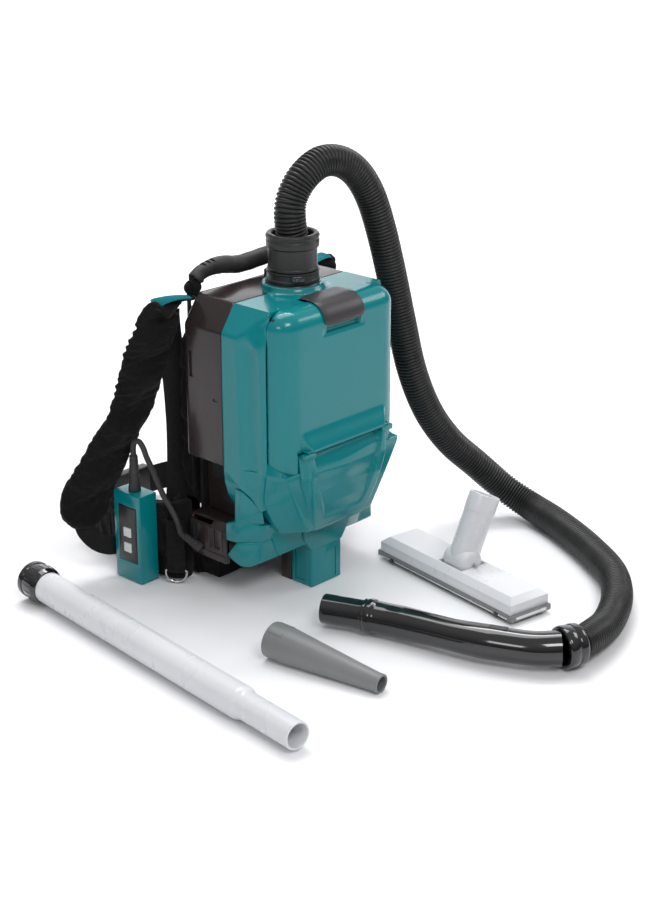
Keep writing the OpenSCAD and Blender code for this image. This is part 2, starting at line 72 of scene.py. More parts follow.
def add_camera():
    data = bpy.data.cameras.new("camera")
    data.lens = CAMERA_LENS
    data.sensor_width = SENSOR_WIDTH
    data.clip_end = FAR_CLIP
    camera = bpy.data.objects.new("camera", data)
    camera.location = CAMERA_AT
    camera.rotation_euler = (math.pi / 2 - CAMERA_PITCH, 0, -CAMERA_YAW)
    bpy.context.scene.collection.objects.link(camera)
    bpy.context.scene.camera = camera


def add_light(name, energy, at, target, size):
    data = bpy.data.lights.new(name, "AREA")
    data.energy = energy
    data.shape = "RECTANGLE"
    data.size = size
    data.size_y = size * 0.7
    light = bpy.data.objects.new(name, data)
    light.location = at
    light.rotation_euler = (Vector(target) - Vector(at)).to_track_quat("-Z", "Y").to_euler()
    bpy.context.scene.collection.objects.link(light)


def add_stage():
    """A pale floor that curves up far behind, a wide plane under it, and soft light all round."""
    behind, bend, steps = 3.2, 1.5, 24
    rows = []
    for i in range(steps + 1):
        angle = math.pi / 2 * i / steps
        rows.append((behind + bend * math.sin(angle), bend - bend * math.cos(angle)))
    outline = [(-4.0, 0.0)] + rows + [(4.7, 5.0)]
    verts = []
    faces = []
    ahead = Vector((math.sin(CAMERA_YAW), math.cos(CAMERA_YAW), 0))
    across = Vector((ahead.y, -ahead.x, 0))
    for along, up in outline:
        for side in (-5.0, 5.0):
            verts.append(ahead * along + across * side + Vector((0, 0, up)))
    for i in range(len(outline) - 1):
        faces.append((2 * i, 2 * i + 1, 2 * i + 3, 2 * i + 2))
    surface = floor_material()
    far = [(-30, -30, -0.01), (30, -30, -0.01), (30, 30, -0.01), (-30, 30, -0.01)]
    for name, corners, quads in (("floor", verts, faces), ("far_floor", far, [(0, 1, 2, 3)])):
        mesh = bpy.data.meshes.new(name)
        mesh.from_pydata(corners, [], quads)
        mesh.polygons.foreach_set("use_smooth", [True] * len(quads))
        floor = bpy.data.objects.new(name, mesh)
        bpy.context.scene.collection.objects.link(floor)
        floor.data.materials.append(surface)
    world = bpy.data.worlds.new("studio")
    world.use_nodes = True
    sky = world.node_tree.nodes["Background"]
    sky.inputs["Strength"].default_value = SKY_STRENGTH
    direction = world.node_tree.nodes.new("ShaderNodeTexCoord")
    split = world.node_tree.nodes.new("ShaderNodeSeparateXYZ")
    fade = world.node_tree.nodes.new("ShaderNodeValToRGB")
    for element, height, color in zip(fade.color_ramp.elements, (0.05, 0.75), (SKY_LOW, SKY_HIGH)):
        element.position = height
        element.color = color
    world.node_tree.links.new(direction.outputs["Generated"], split.inputs["Vector"])
    world.node_tree.links.new(split.outputs["Z"], fade.inputs["Fac"])
    world.node_tree.links.new(fade.outputs["Color"], sky.inputs["Color"])
    bpy.context.scene.world = world
    bpy.context.scene.view_settings.view_transform = "Standard"
    for light in LIGHTS:
        add_light(*light)


# ---------------------------------------------------------------- materials

class Nodes:
    """Small helper that wires one procedural material."""

    def __init__(self, name):
        self.material = bpy.data.materials.new(name)
        self.material.use_nodes = True
        self.tree = self.material.node_tree
        self.shader = self.tree.nodes["Principled BSDF"]
        self.coords = self.tree.nodes.new("ShaderNodeTexCoord")

    def new(self, kind, **settings):
        node = self.tree.nodes.new(kind)
        for key, value in settings.items():
            if key in node.inputs:
                node.inputs[key].default_value = value
            else:
                setattr(node, key, value)
        return node

    def link(self, a, b):
        self.tree.links.new(a, b)

    def feed(self, socket, value):
        """Drives a socket of the shader from another node."""
        self.link(value, self.shader.inputs[socket])

    def noise(self, scale, detail=3.0, rough=0.5):
        node = self.new("ShaderNodeTexNoise", Scale=scale, Detail=detail, Roughness=rough)
        self.link(self.coords.outputs["Object"], node.inputs["Vector"])
        return node.outputs["Fac"]

    def ramp(self, value, low, high, at=(0.3, 0.7)):
        """Maps a texture value to a number between low and high."""
        node = self.new("ShaderNodeMapRange")
        for socket, number in zip(("From Min", "From Max", "To Min", "To Max"), (*at, low, high)):
            node.inputs[socket].default_value = number
        self.link(value, node.inputs["Value"])
        return node.outputs["Result"]

    def mix_colors(self, value, a, b, at=(0.35, 0.65)):
        node = self.new("ShaderNodeValToRGB")
        for element, place_at, color in zip(node.color_ramp.elements, at, (a, b)):
            element.position = place_at
            element.color = (*color, 1)
        self.link(value, node.inputs["Fac"])
        return node.outputs["Color"]

    def math(self, operation, a, b):
        node = self.new("ShaderNodeMath", operation=operation)
        for socket, value in zip(node.inputs, (a, b)):
            if isinstance(value, (int, float)):
                socket.default_value = value
            else:
                self.link(value, socket)
        return node.outputs["Value"]

    def wave(self, value):
        """Rounded ridges from 0 to 1, one for each half turn of the value."""
        return self.math("ABSOLUTE", self.math("SINE", value, 0.0), 0.0)

    def bump(self, height, strength, distance, after=None):
        node = self.new("ShaderNodeBump", Strength=strength, Distance=distance)
        self.link(height, node.inputs["Height"])
        if after is not None:
            self.link(after, node.inputs["Normal"])
        return node.outputs["Normal"]

    def set(self, **values):
        for key, value in values.items():
            self.shader.inputs[key.replace("_", " ")].default_value = value


MOULD_GRAIN_SCALE = 2600
RUBBER_GRAIN_SCALE = 1500
YARNS_ACROSS = 11
RIB_LENGTH = 1.6


def shade(color, factor):
    return tuple(min(1.0, c * factor) for c in color)


def floor_material():
    n = Nodes("studio_floor")
    n.feed("Base Color", n.mix_colors(n.noise(0.8), (0.91, 0.91, 0.93), (0.93, 0.93, 0.95)))
    n.feed("Roughness", n.ramp(n.noise(30), 0.5, 0.6))
    return n.material


def plastic(name, color, rough, grain, coat=0.0, wear=1.18, specular=0.5):
    """Moulded plastic: slight colour drift, lighter worn edges, mould grain."""
    n = Nodes(name)
    drift = n.mix_colors(n.noise(14, 2), shade(color, 0.975), shade(color, 1.02))
    edges = n.new("ShaderNodeNewGeometry").outputs["Pointiness"]
    lift = n.ramp(edges, 0.0, 0.35, at=(0.53, 0.62))
    mix = n.new("ShaderNodeMix", data_type="RGBA")
    n.link(lift, mix.inputs["Factor"])
    n.link(drift, mix.inputs["A"])
    mix.inputs["B"].default_value = (*shade(color, wear), 1)
    n.feed("Base Color", mix.outputs["Result"])
    smudge = n.noise(22, 5, 0.6)
    n.feed("Roughness", n.ramp(smudge, rough * 0.9, rough * 1.15))
    fine = n.noise(MOULD_GRAIN_SCALE, 2, 0.5)
    broad = n.noise(55, 2, 0.4)
    normal = n.bump(broad, 0.008, 0.0006)
    n.feed("Normal", n.bump(fine, grain, 0.00025, normal))
    n.set(Specular_IOR_Level=specular)
    if coat:
        n.set(Coat_Weight=coat, Coat_Roughness=0.05)
    return n.material


def rubber(name, color, rough, grain):
    n = Nodes(name)
    n.feed("Base Color", n.mix_colors(n.noise(40, 4), shade(color, 0.75), shade(color, 1.35)))
    n.feed("Roughness", n.ramp(n.noise(30, 4), rough * 0.85, min(1.0, rough * 1.15)))
    n.feed("Normal", n.bump(n.noise(RUBBER_GRAIN_SCALE, 3), grain, 0.0003))
    n.set(Specular_IOR_Level=0.4)
    return n.material


def metal(name, color, rough):
    n = Nodes(name)
    n.feed("Base Color", n.mix_colors(n.noise(60, 4), shade(color, 0.85), color))
    n.feed("Roughness", n.ramp(n.noise(300, 3), rough * 0.7, rough * 1.4))
    n.feed("Normal", n.bump(n.noise(1800, 2), 0.08, 0.0002))
    n.set(Metallic=1.0)
    return n.material


def mesh_cloth(name, color, cell=620, wrinkle=0.5):
    """Padded mesh cloth: a fine cell knit over soft creases, with a little sheen and lint."""
    n = Nodes(name)
    cells = n.new("ShaderNodeTexVoronoi", Scale=cell)
    n.link(n.coords.outputs["Object"], cells.inputs["Vector"])
    knit = cells.outputs["Distance"]
    fade = n.noise(9, 5, 0.6)
    base = n.mix_colors(fade, shade(color, 0.7), shade(color, 1.5))
    mix = n.new("ShaderNodeMix", data_type="RGBA", blend_type="MULTIPLY")
    mix.inputs["Factor"].default_value = 0.75
    n.link(base, mix.inputs["A"])
    n.link(n.mix_colors(knit, (1.3, 1.3, 1.3), (0.45, 0.45, 0.45), at=(0.05, 0.6)), mix.inputs["B"])
    n.feed("Base Color", mix.outputs["Result"])
    n.feed("Roughness", n.ramp(fade, 0.82, 0.98))
    creases = n.bump(n.noise(38, 4, 0.55), wrinkle, 0.004)
    inverted = n.math("SUBTRACT", 1.0, knit)
    n.feed("Normal", n.bump(inverted, 0.55, 0.0006, creases))
    n.set(Sheen_Weight=0.06, Sheen_Roughness=0.5, Specular_IOR_Level=0.15)
    return n.material


def woven(name, color):
    """Webbing: cross ribs along UV v and a fine twill."""
    n = Nodes(name)
    split = n.new("ShaderNodeSeparateXYZ")
    n.link(n.coords.outputs["UV"], split.inputs["Vector"])
    across = n.math("MULTIPLY", split.outputs["X"], 2 * math.pi * YARNS_ACROSS)
    along = n.math("MULTIPLY", split.outputs["Y"], 2 * math.pi / (RIB_LENGTH * MM))
    ribs = n.wave(along)
    yarns = n.wave(n.math("ADD", across, n.math("MULTIPLY", along, 0.5)))
    height = n.math("MULTIPLY", ribs, n.math("ADD", n.math("MULTIPLY", yarns, 0.6), 0.4))
    n.feed("Base Color", n.mix_colors(height, shade(color, 0.45), shade(color, 1.5), at=(0.1, 0.9)))
    n.feed("Roughness", n.ramp(n.noise(200, 3), 0.7, 0.9))
    n.feed("Normal", n.bump(height, 0.8, 0.0006))
    n.set(Sheen_Weight=0.05, Specular_IOR_Level=0.2)
    return n.material


def foam(name, color):
    n = Nodes(name)
    cells = n.new("ShaderNodeTexVoronoi", Scale=500.0)
    n.link(n.coords.outputs["Object"], cells.inputs["Vector"])
    n.feed("Base Color", n.mix_colors(cells.outputs["Distance"], shade(color, 1.3), shade(color, 0.5),
                                      at=(0.1, 0.7)))
    n.feed("Normal", n.bump(cells.outputs["Distance"], 0.9, 0.001))
    n.feed("Roughness", n.ramp(n.noise(80), 0.85, 0.98))
    return n.material


TEAL = (0.0, 0.205, 0.225)
DARK = (0.026, 0.018, 0.018)
MATERIALS = {
    name: make(name, color, **settings) for name, make, color, settings in (
        ("housing_teal", plastic, TEAL, dict(rough=0.2, grain=0.02, coat=0.22, specular=0.35)),
        ("housing_black", plastic, DARK, dict(rough=0.17, grain=0.02, coat=0.12, wear=1.6, specular=0.4)),
        ("latch_grey", plastic, (0.040, 0.036, 0.039), dict(rough=0.38, grain=0.10, wear=1.4)),
        ("satin_black", plastic, (0.018, 0.018, 0.018), dict(rough=0.33, grain=0.10, wear=1.7)),
        ("gloss_black", plastic, (0.009, 0.009, 0.010), dict(rough=0.12, grain=0.02, coat=0.6, wear=1.6)),
        ("hose_black", rubber, (0.014, 0.014, 0.014), dict(rough=0.38, grain=0.06)),
        ("soft_rubber", rubber, (0.032, 0.031, 0.031), dict(rough=0.55, grain=0.35)),
        ("foam", foam, (0.10, 0.10, 0.11), {}),
        ("filter_cloth", foam, (0.72, 0.72, 0.70), {}),
        ("bag_cloth", mesh_cloth, (0.52, 0.46, 0.36), dict(cell=900, wrinkle=0.8)),
        ("pad_fabric", mesh_cloth, (0.009, 0.0082, 0.0082), {}),
        ("webbing", woven, (0.012, 0.011, 0.011), {}),
        ("teal_cloth", mesh_cloth, (0.0, 0.17, 0.20), dict(cell=1400, wrinkle=0.25)),
        ("steel", metal, (0.62, 0.61, 0.60), dict(rough=0.22)),
        ("board", plastic, (0.01, 0.10, 0.05), dict(rough=0.4, grain=0.15)),
        ("tool_white", plastic, (0.72, 0.73, 0.76), dict(rough=0.28, grain=0.012, coat=0.15, wear=1.03)),
        ("tool_grey", plastic, (0.19, 0.20, 0.20), dict(rough=0.42, grain=0.12, wear=1.2)),
        ("button_white", plastic, (0.75, 0.76, 0.77), dict(rough=0.4, grain=0.08, wear=1.05)),
        ("bristle", foam, (0.25, 0.25, 0.26), {}),
    )
}


# ---------------------------------------------------------------- mesh helpers

@contextmanager
def editing(mesh):
    """A mesh opened as a bmesh, and written back at the end."""
    bm = bmesh.new()
    bm.from_mesh(mesh)
    yield bm
    bm.to_mesh(mesh)
    bm.free()


def new_object(name, mesh, slot, body, smooth_angle=35.0):
    """Links a mesh as one piece, shaded smooth except at edges sharper than the angle."""
    thing = bpy.data.objects.new(name, mesh)
    bpy.context.scene.collection.objects.link(thing)
    mesh.materials.clear()
    mesh.materials.append(MATERIALS[slot])
    finish_normals(mesh, smooth_angle)
    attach(thing, body)
    return thing


def finish_normals(mesh, smooth_angle):
    """Merges doubles, turns the faces outward and marks the edges sharper than the angle."""
    with editing(mesh) as bm:
        bmesh.ops.remove_doubles(bm, verts=bm.verts, dist=1e-6)
        bmesh.ops.dissolve_degenerate(bm, edges=bm.edges, dist=1e-7)
        bmesh.ops.recalc_face_normals(bm, faces=bm.faces)
    mesh.polygons.foreach_set("use_smooth", [True] * len(mesh.polygons))
    mesh.set_sharp_from_angle(angle=math.radians(smooth_angle))


def apply_modifiers(thing, smooth_angle=35.0):
    """Bakes the modifiers into the mesh and sets its normals again."""
    graph = bpy.context.evaluated_depsgraph_get()
    graph.update()
    mesh = bpy.data.meshes.new_from_object(thing.evaluated_get(graph))
    thing.modifiers.clear()
    thing.data = mesh
    finish_normals(mesh, smooth_angle)


def bevel(thing, width, segments=3, angle=30.0):
    modifier = thing.modifiers.new("bevel", "BEVEL")
    modifier.width = width * MM
    modifier.segments = segments
    modifier.limit_method = "ANGLE"
    modifier.angle_limit = math.radians(angle)
    modifier.use_clamp_overlap = True
    modifier.harden_normals = False
    apply_modifiers(thing)


def thicken(thing, wall, smooth_angle, offset=-1):
    """Gives an open surface a wall, inward unless offset says otherwise."""
    solid = thing.modifiers.new("wall", "SOLIDIFY")
    solid.thickness = wall * MM
    solid.offset = offset
    apply_modifiers(thing, smooth_angle)


def block_mesh(name, low, high):
    """A plain block between two corners in millimetres, which is then bevelled or used as a cutter."""
    mesh = bpy.data.meshes.new(name)
    centre = (Vector(low) + Vector(high)) / 2
    size = Vector(high) - Vector(low)
    with editing(mesh) as bm:
        bmesh.ops.create_cube(bm, size=1.0)
        for v in bm.verts:
            v.co = Vector([centre[k] + v.co[k] * size[k] for k in range(3)]) * MM
    return mesh


def cut_with(thing, mesh):
    cutter = bpy.data.objects.new("cutter", mesh)
    bpy.context.scene.collection.objects.link(cutter)
    modifier = thing.modifiers.new("cut", "BOOLEAN")
    modifier.operation = "DIFFERENCE"
    modifier.solver = "EXACT"
    modifier.object = cutter
    apply_modifiers(thing, 30)
    bpy.data.objects.remove(cutter)


def cut_box(thing, low, high):
    cut_with(thing, block_mesh("cutter", low, high))


def cut_round(thing, base, radius, height):
    profile = [(0.001, 0), (radius, 0), (radius, height), (0.001, height)]
    mesh = place(lathe_mesh("cutter", profile, 96), Matrix.Translation(mm(*base)))
    finish_normals(mesh, 30)
    cut_with(thing, mesh)


def box_piece(name, low, high, slot, body, round_mm, segments=3):
    """A block with rounded edges."""
    piece = new_object(name, block_mesh(name, low, high), slot, body)
    bevel(piece, round_mm, segments)
    return piece


def turned_piece(name, profile, matrix, slot, body, steps=96, smooth_angle=30, node=None):
    """A lathe piece put in place; node is the CAD node that it stands for."""
    mesh = place(lathe_mesh(name, profile, steps), matrix)
    piece = new_object(name, mesh, slot, body, smooth_angle)
    if node:
        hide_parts(node)
    return piece


def round_profile(points, radius, steps=3):
    """A lathe profile of (radius, height) corners with each inner corner rounded."""
    line = rounded([(r, 0, z) for r, z in points], radius, steps)
    return [(p.x, p.z) for p in line]


def grid_mesh(name, rows, close_rows=False, close_ends=False, uv=None):
    """Quads over a grid of points in millimetres. close_rows joins each row's end to its start."""
    count = len(rows[0])
    verts = [Vector(p) * MM for row in rows for p in row]
    faces = []
    for i in range(len(rows) - 1):
        for k in range(count if close_rows else count - 1):
            m = (k + 1) % count
            faces.append((i * count + k, i * count + m, (i + 1) * count + m, (i + 1) * count + k))
    if close_ends:
        faces.append(tuple(range(count))[::-1])
        faces.append(tuple(range((len(rows) - 1) * count, len(rows) * count)))
    mesh = bpy.data.meshes.new(name)
    mesh.from_pydata(verts, [], faces)
    if uv is not None:
        layer = mesh.uv_layers.new(name="UVMap")
        for loop in mesh.loops:
            layer.data[loop.index].uv = uv[loop.vertex_index]
    return mesh


def teal_sheet(name, rows, smooth_angle, close_rows=False):
    """A piece of the teal housing made from a grid of points."""
    return new_object(name, grid_mesh(name, rows, close_rows), "housing_teal", "pack", smooth_angle)


def lathe_mesh(name, profile, steps):
    """Turns a list of (radius, height) points about +Z."""
    angles = [2 * math.pi * i / steps for i in range(steps)]
    rows = [[(radius * math.cos(angle), radius * math.sin(angle), height) for angle in angles]
            for radius, height in profile]
    return grid_mesh(name, rows, close_rows=True)


def upright_to(axis):
    """The turn that lays +Z along an axis."""
    return Vector((0, 0, 1)).rotation_difference(axis).to_matrix().to_4x4()


def place(mesh, matrix):
    mesh.transform(matrix)
    return mesh


def rounded(corners, radii, steps, closed=False):
    """Points along a polyline whose corners are rounded with a quadratic arc."""
    result = []
    count = len(corners)
    for i, corner in enumerate(corners):
        here = Vector(corner)
        radius = radii[i] if isinstance(radii, (list, tuple)) else radii
        if not closed and i in (0, count - 1):
            result.append(here)
            continue
        before = Vector(corners[i - 1]) - here
        after = Vector(corners[(i + 1) % count]) - here
        reach = min(radius, before.length * 0.49, after.length * 0.49)
        a = here + before.normalized() * reach
        b = here + after.normalized() * reach
        for s in range(steps + 1):
            t = s / steps
            result.append(a * (1 - t) ** 2 + here * 2 * t * (1 - t) + b * t ** 2)
    return result


def spline(points, steps):
    """Catmull-Rom curve through points, as in the CAD source."""
    points = [Vector(p) for p in points]
    last = len(points) - 1
    line = []
    for i in range(last):
        a, b = points[max(i - 1, 0)], points[i]
        c, d = points[i + 1], points[min(i + 2, last)]
        for s in range(steps):
            t = s / steps
            line.append(0.5 * (2 * b + (c - a) * t + (2 * a - 5 * b + 4 * c - d) * t * t
                               + (3 * b - a - 3 * c + d) * t ** 3))
    line.append(points[last])
    return line


def resample(line, gap):
    """Even steps of about gap along a polyline."""
    lengths = [0.0]
    for a, b in zip(line, line[1:]):
        lengths.append(lengths[-1] + (b - a).length)
    count = max(2, round(lengths[-1] / gap))
    result = []
    k = 0
    for i in range(count + 1):
        goal = lengths[-1] * i / count
        while k < len(lengths) - 2 and lengths[k + 1] < goal:
            k += 1
        span = lengths[k + 1] - lengths[k]
        result.append(line[k].lerp(line[k + 1], (goal - lengths[k]) / span if span else 0))
    return result


def directions_at(line, i, hint):
    """The direction across a line nearest to hint, and the one square to both, at one of its points."""
    tangent = (line[min(i + 1, len(line) - 1)] - line[max(i - 1, 0)]).normalized()
    side = (hint - tangent * hint.dot(tangent)).normalized()
    return side, tangent.cross(side)


def tube_mesh(name, line, radius, sides, start=(1, 0, 0)):
    """Round tube; radius is a number or a function of the index and the share of the length."""
    rows = []
    last = len(line) - 1
    side = Vector(start)
    for i, point in enumerate(line):
        side, up = directions_at(line, i, side)
        r = radius(i, i / last) if callable(radius) else radius
        angles = [2 * math.pi * k / sides for k in range(sides)]
        rows.append([point + side * (r * math.cos(a)) + up * (r * math.sin(a)) for a in angles])
    return grid_mesh(name, rows, close_rows=True, close_ends=True)


def ribbon_mesh(name, line, width, thick, wide, crown=0.0, across=8):
    """Flat strap with rounded edges, with UVs: x across from 0 to 1, y along in metres.

    width is a number or a function of the share of the length; wide is the direction across the strap.
    """
    last = len(line) - 1
    rows = []
    uv = []
    run = 0.0
    for i, point in enumerate(line):
        side, up = directions_at(line, i, Vector(wide))
        half = (width(i / last) if callable(width) else width) / 2
        depth = thick / 2
        run += (point - line[i - 1]).length if i else 0.0
        row = []
        for face in (1, -1):
            for k in range(across + 1):
                s = face * (2 * k / across - 1)
                bulge = math.sqrt(max(0.0, 1 - abs(s) ** 6))
                row.append(point + side * (half * s) + up * (face * (depth * bulge + crown * (1 - s * s))))
                uv.append(((s + 1) / 2, run * MM))
        rows.append(row)
    return grid_mesh(name, rows, close_rows=True, close_ends=True, uv=uv)


def mirrored_curve(route, flip, steps, gap):
    return resample(spline([(flip * x, y, z) for x, y, z in route], steps), gap)


def strap_piece(name, route, flip, fit, size, wide, crown=0.0, slot="webbing"):
    """A strap on the pack along a route, mirrored when flip is -1.

    fit is the curve's steps between points and the gap between rows; size is the width and the thickness.
    """
    line = mirrored_curve(route, flip, *fit)
    return new_object(name, ribbon_mesh(name, line, *size, wide, crown), slot, "pack", 50)


def bevelled_copy(node, slot, body, width, segments=3):
    """A copy of a CAD node with merged flat faces and rounded edges, which stands for the node."""
    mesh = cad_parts[node].data.copy()
    with editing(mesh) as bm:
        bmesh.ops.remove_doubles(bm, verts=bm.verts, dist=2e-6)
        bmesh.ops.dissolve_limit(bm, angle_limit=math.radians(1.0), verts=bm.verts, edges=bm.edges)
    copy = new_object(node + "_look", mesh, slot, body)
    bevel(copy, width, segments)
    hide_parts(node)


def dress(node, slot):
    """Gives a CAD node that stays its finish."""
    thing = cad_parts[node]
    thing.data.materials.clear()
    thing.data.materials.append(MATERIALS[slot])


add_camera()
add_stage()

# ---------------------------------------------------------------- hose and remote cable

HOSE_ROUTE = [
    (0, 28, 402), (0, 28, 420), (-3, 28, 438), (-4, 28, 456), (2, 28, 474), (18, 26, 493), (44, 24, 505),
    (72, 20, 502), (97, 16, 485), (117, 12, 455), (134, 9, 410), (152, 7, 350), (168, 5, 290),
    (187, 2, 221), (214, -3, 161), (247, -13, 113), (281, -31, 76), (306, -56, 44), (318, -92, 24),
    (310, -130, 20), (293, -172, 19.5), (264, -228, 19.5), (223, -290, 19.5), (170, -335, 19.5),
    (108, -366, 20), (60, -378, 24), (30, -380, 25.5),
]
HOSE_RADIUS = 19
RIB_PITCH = 4.4
RIB_DEPTH = 2.3
CABLE_ROUTE = [
    (-148, 153, 161), (-148, 153, 170), (-148, 150, 178), (-147, 143, 180), (-146, 137, 173),
    (-144, 134, 162), (-140.5, 129, 147), (-137, 123, 129), (-134, 115, 111), (-134, 104, 100),
    (-133.5, 96, 89), (-133, 92, 79.5), (-131.6, 90.5, 71.5), (-128.6, 88.2, 68.2),
]
CABLE_RADIUS = 3.5


def route_length(line):
    return sum((b - a).length for a, b in zip(line, line[1:])) * MM


def rib_wave(share):
    """Height of a rib from 0 in the groove to 1 on the crest, with a rounded crest."""
    return 1 - abs(2 * (share % 1.0) - 1) ** 2.2


def make_hose():
    steps_per_rib = 5
    line = resample(spline(HOSE_ROUTE, 24), RIB_PITCH / steps_per_rib)

    def radius(i, _share):
        return HOSE_RADIUS - RIB_DEPTH * (1 - rib_wave(i / steps_per_rib))

    hose = new_object("ribbed_hose", tube_mesh("ribbed_hose", line, radius, 28), "hose_black", "pack", 80)
    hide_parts("hose")
    return hose, line


def make_cable():
    line = resample(spline(CABLE_ROUTE, 16), 2.0)
    mesh = tube_mesh("remote_lead", line, CABLE_RADIUS, 20)
    cable = new_object("remote_lead", mesh, "soft_rubber", "pack", 60)
    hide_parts("remote_cable")
    return cable, line


def make_relief(name, node, base, tip, base_radius, tip_radius, ribs):
    """Tapered moulded relief with shallow grooves along its middle."""
    axis = (Vector(tip) - Vector(base))
    length = axis.length
    steps = 60
    profile = [(0.01, 0)]
    for i in range(steps + 1):
        share = i / steps
        r = base_radius + (tip_radius - base_radius) * share ** 0.8
        if 0.25 < share < 0.85:
            r -= 0.35 * max(0.0, math.sin(2 * math.pi * ribs * share))
        edge = min(share, 1 - share) * length
        r -= 0.8 * max(0.0, 1 - edge / 1.2) ** 2
        profile.append((r, length * share))
    profile.append((0.01, length))
    at = Matrix.Translation(mm(*base)) @ upright_to(axis.normalized())
    return turned_piece(name, profile, at, "soft_rubber", "pack", 32, 50, node)


def make_cuff():
    """Round sleeve that turns on the wand and holds the hose end."""
    low, high = Vector((30, -380, 25.5)), Vector((8, -372, 25.5))
    axis = (high - low).normalized()
    length = (high - low).length
    profile = [(19.2, -1.0), (22.6, -1.0), (23.8, 0.2), (24.3, 1.5), (24.6, 4.5), (24.6, 8), (23.9, 8.8),
               (23.9, 10.2), (24.6, 11), (24.8, length - 3.2), (24.2, length - 1.2), (22.8, length),
               (19.0, length)]
    at = Matrix.Translation(low * MM) @ upright_to(axis)
    return turned_piece("hose_cuff_look", profile, at, "gloss_black", "pack", 72, 40, "hose_cuff")


hose, hose_line = make_hose()
cable, cable_line = make_cable()
boot = make_relief("remote_boot_look", "remote_boot", (-148, 153, 115), (-148, 153, 161), 8, 4.9, 7)
gland = make_relief("cable_gland_look", "cable_gland", (-113.2, 76.7, 51.3), (-128.6, 88.2, 68.2),
                    6.3, 4.4, 5)
cuff = make_cuff()

# ---------------------------------------------------------------- upper body

HALF_W = 115
TOP = 363
CHAMFER_Z = 331
CHAMFER_IN = 22
SEAM_Y = -26
SPLIT_Y = 32
BACK_Y = 96
NECK_Y = 28
NECK_HOLE = 27
NECK_BASE_HOLE = 36.3
REAR_WALL = 2.6
FRONT_WALL = 2.4
COVER_WALL = 2.3
FLANGE_WALL = 0.6


def blend_low(a, b, soft):
    """Smooth minimum of two lengths, rounded over about soft."""
    h = max(soft - abs(a - b), 0.0) / soft
    return min(a, b) - h * h * soft / 4


def blend_high(a, b, soft):
    return -blend_low(-a, -b, soft)


def ease(value, low, high):
    t = min(1.0, max(0.0, (value - low) / (high - low)))
    return t * t * (3 - 2 * t)


def chamfer_x(z):
    """How far the top chamfer plane sits in from the side at a height."""
    return (z - CHAMFER_Z) * CHAMFER_IN / (TOP - CHAMFER_Z)


def make_rear_shell():
    """Dark rear housing: chamfered box with a narrower waist, rounded at the back, open to the front."""
    def outline(t):
        w, b = HALF_W - t, 168 + t
        waist = 84 - t
        corners = [(-w, b), (-w, CHAMFER_Z - 0.3 * t), (-HALF_W + CHAMFER_IN + 0.5 * t, TOP - t),
                   (HALF_W - CHAMFER_IN - 0.5 * t, TOP - t), (w, CHAMFER_Z - 0.3 * t), (w, b), (waist, b),
                   (waist, 92.3), (-waist, 92.3), (-waist, b)]
        radii = [2.5, 2.5, 2.5, 2.5, 2.5, 2.5, 4, 1, 1, 4]
        return rounded([(x, 0, z) for x, z in corners], radii, 4, closed=True)

    stations = [(SPLIT_Y + 0.35, 0.5), (SPLIT_Y + 0.7, 0.12), (SPLIT_Y + 1.4, 0.0), (55, 0.0),
                (BACK_Y - 7, 0.0)]
    for i in range(1, 9):
        angle = math.pi / 2 * i / 8
        stations.append((BACK_Y - 7 + 7 * math.sin(angle), 7 * (1 - math.cos(angle))))
    rows = [[(p.x, y, p.z) for p in outline(t)] for y, t in stations]
    mesh = grid_mesh("rear_shell", rows, close_rows=True)
    with editing(mesh) as bm:
        bm.verts.ensure_lookup_table()
        count = len(rows[0])
        bm.faces.new([bm.verts[(len(rows) - 1) * count + k] for k in range(count)])
    shell = new_object("rear_shell", mesh, "housing_black", "pack", 30)
    thicken(shell, REAR_WALL, 30)
    for x in (-1, 1):
        cut_box(shell, (x * 115 - 2.2, 80, 268), (x * 115 + 2.2, 86, 300))
        cut_box(shell, (x * 115 - 1.2, 40, 246), (x * 115 + 1.2, 47, 249))
    cut_round(shell, (0, NECK_Y, 355), NECK_BASE_HOLE, 30)
    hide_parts("rear_housing")


def ring_inset(y, z):
    """How far the teal ring's side lies inside the body's half width at a place on it."""
    crease = 3 + 5 * (min(max(z, 171), CHAMFER_Z) - 171) / 160
    reach = max(0.0, crease - y) / (crease - SEAM_Y)
    side = 10.0 * reach ** 0.8
    arch_top = 331 - 0.055 * (y + 2) ** 2
    scoop = 3.2 * math.sin(math.pi * min(1.0, reach * 1.15)) * (1 - ease(z, arch_top - 13, arch_top))
    lean = 7.0 * ease(reach, 0.0, 0.8) * ease(z, 318, 352)
    low = 1 - 0.55 * (1 - ease(z, 126, 170))
    lip = 4.6 * (1 - math.sqrt(max(0.0, 1 - (max(0.0, SEAM_Y + 4.5 - y) / 4.6) ** 2)))
    return (side + scoop) * low + lean + lip * ease(z, 160, 174)


def ring_bottom(y):
    return 147 + (y - 3) * 18.5 / 25 if y > 3 else 126 + (y - SEAM_Y) * 21 / 29


def cover_edge(x, y, z):
    """The place on the cover's outline beside a point of the ring's front edge."""
    side, turn = COVER_HALF - COVER_SIDE_R, TOP - COVER_TOP_R
    if z > turn and abs(x) > side:
        angle = math.atan2((z - turn) / COVER_TOP_R, (abs(x) - side) / COVER_SIDE_R)
        return math.copysign(side + (COVER_SIDE_R + 0.5) * math.cos(angle),
                             x), y, turn + 22.2 * math.sin(angle)
    if z > turn:
        return x, y, z
    return math.copysign(COVER_HALF + 0.5, x), y, z


